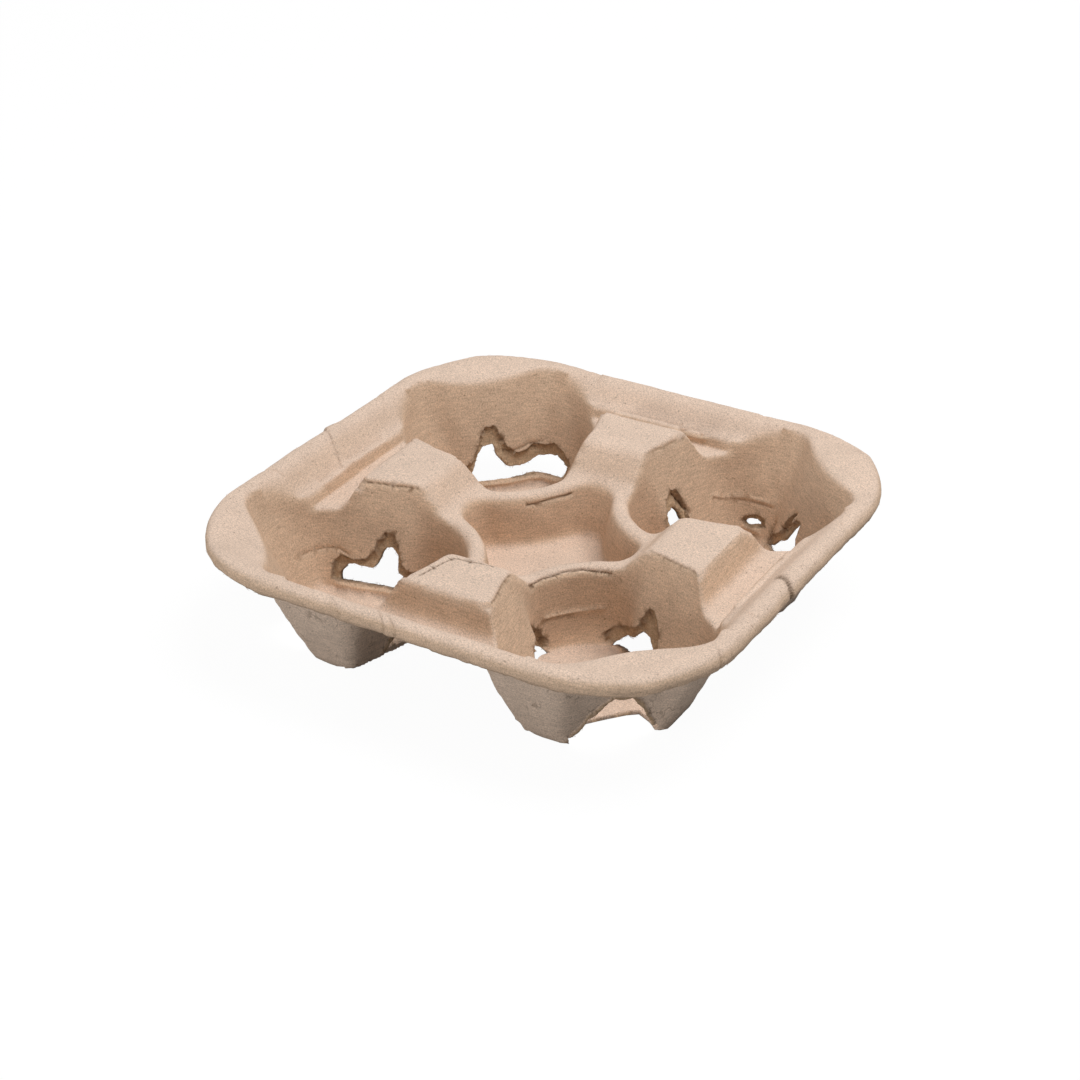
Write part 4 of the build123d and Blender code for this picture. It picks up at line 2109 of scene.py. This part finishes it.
@dataclass(frozen=True)
class Studio:
    """Pale floor, soft lamps, white surroundings and the camera."""

    azimuth: float = 30.79
    elevation: float = 29.44
    roll: float = -0.36
    distance: float = 814.26
    target: tuple[float, float, float] = (14.55, -31.63, 48.0)
    focal_pixels: float = 2222.46
    picture_width: float = 1080.0
    sensor: float = 36.0
    sight: float = 50.0
    floor_size: float = 8.0
    floor_colour: Shade = (0.35, 0.35, 0.35, 1.0)
    floor_roughness: float = 0.9
    floor_glow: float = 0.85
    glow_strength: float = 1.13
    white: Shade = (1.0, 1.0, 1.0, 1.0)
    surroundings: float = 0.34
    lamps: tuple[Lamp, ...] = (
        Lamp("key", (0.44, 0.32, 1.55), 0.9, 17.5),
        Lamp("low", (-0.45, -1.3, 0.14), 0.5, 6.5),
    )

    def build(self) -> None:
        """Make everything round the tray."""
        bpy.context.scene.view_settings.view_transform = "Standard"
        self.camera()
        self.floor()
        self.world()
        for lamp in self.lamps:
            lamp.build()

    def camera(self) -> None:
        """Camera where the photograph was taken from."""
        azimuth, elevation = math.radians(self.azimuth), math.radians(self.elevation)
        level = math.cos(elevation)
        back = Vector((math.sin(azimuth) * level, -math.cos(azimuth) * level, math.sin(elevation)))
        data = bpy.data.cameras.new("camera")
        data.sensor_width = self.sensor
        data.lens = self.focal_pixels * self.sensor / self.picture_width
        data.clip_end = self.sight
        camera = bpy.data.objects.new("camera", data)
        bpy.context.scene.collection.objects.link(camera)
        place = (Vector(self.target) + back * self.distance) * MM
        turn = (-back).to_track_quat("-Z", "Y").to_matrix().to_4x4()
        roll = Matrix.Rotation(-math.radians(self.roll), 4, "Z")
        camera.matrix_world = Matrix.Translation(place) @ turn @ roll
        bpy.context.scene.camera = camera

    def floor(self) -> None:
        """Wide pale floor under the tray, which keeps a faint shadow."""
        half = self.floor_size / 2.0
        mesh = bpy.data.meshes.new("floor")
        edge = [(-half, -half, 0.0), (half, -half, 0.0), (half, half, 0.0), (-half, half, 0.0)]
        mesh.from_pydata(edge, [], [(0, 1, 2, 3)])
        mesh.materials.append(self.floor_finish())
        floor = bpy.data.objects.new("floor", mesh)
        bpy.context.scene.collection.objects.link(floor)

    def floor_finish(self) -> bpy.types.Material:
        """Matt finish that glows where the camera sees it."""
        finish = bpy.data.materials.new("floor")
        finish.use_nodes = True
        tree = finish.node_tree
        shader = tree.nodes["Principled BSDF"]
        feed(tree, shader.inputs["Base Color"], self.floor_colour)
        feed(tree, shader.inputs["Roughness"], self.floor_roughness)
        glow = add_node(tree, "ShaderNodeEmission", {"Strength": self.glow_strength})
        seen = add_node(tree, "ShaderNodeLightPath", {}).outputs["Is Camera Ray"]
        inputs = {
            "Fac": product(tree, seen, self.floor_glow),
            1: shader.outputs["BSDF"],
            2: glow.outputs["Emission"],
        }
        mix = add_node(tree, "ShaderNodeMixShader", inputs)
        feed(tree, tree.nodes["Material Output"].inputs["Surface"], mix.outputs["Shader"])
        return finish

    def world(self) -> None:
        """Soft surroundings, white where the camera sees them."""
        world = bpy.data.worlds.new("studio")
        bpy.context.scene.world = world
        world.use_nodes = True
        tree = world.node_tree
        background = tree.nodes["Background"]
        feed(tree, background.inputs["Color"], self.white)
        seen = add_node(tree, "ShaderNodeLightPath", {}).outputs["Is Camera Ray"]
        inputs = {"Value": seen, "To Min": self.surroundings, "To Max": 1.0}
        strength = add_node(tree, "ShaderNodeMapRange", inputs).outputs["Result"]
        feed(tree, background.inputs["Strength"], strength)


def corners(bounds: tuple[Vector, Vector]) -> list[list[float]]:
    """Lowest and highest corner as plain numbers."""
    return [[float(value) for value in corner] for corner in bounds]


def main() -> None:
    """Build the tray and the studio."""
    logging.basicConfig(level=logging.INFO, format="%(name)s: %(message)s")
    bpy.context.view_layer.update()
    finish = PulpMaterial().build()
    tray = PulpTray().build(finish)
    fibres = LooseFibres().build(tray, finish)
    for piece in (tray, fibres):
        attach(piece, "root")
    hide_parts("moulded_tray")
    Studio().build()


if __name__ == "__main__":
    main()
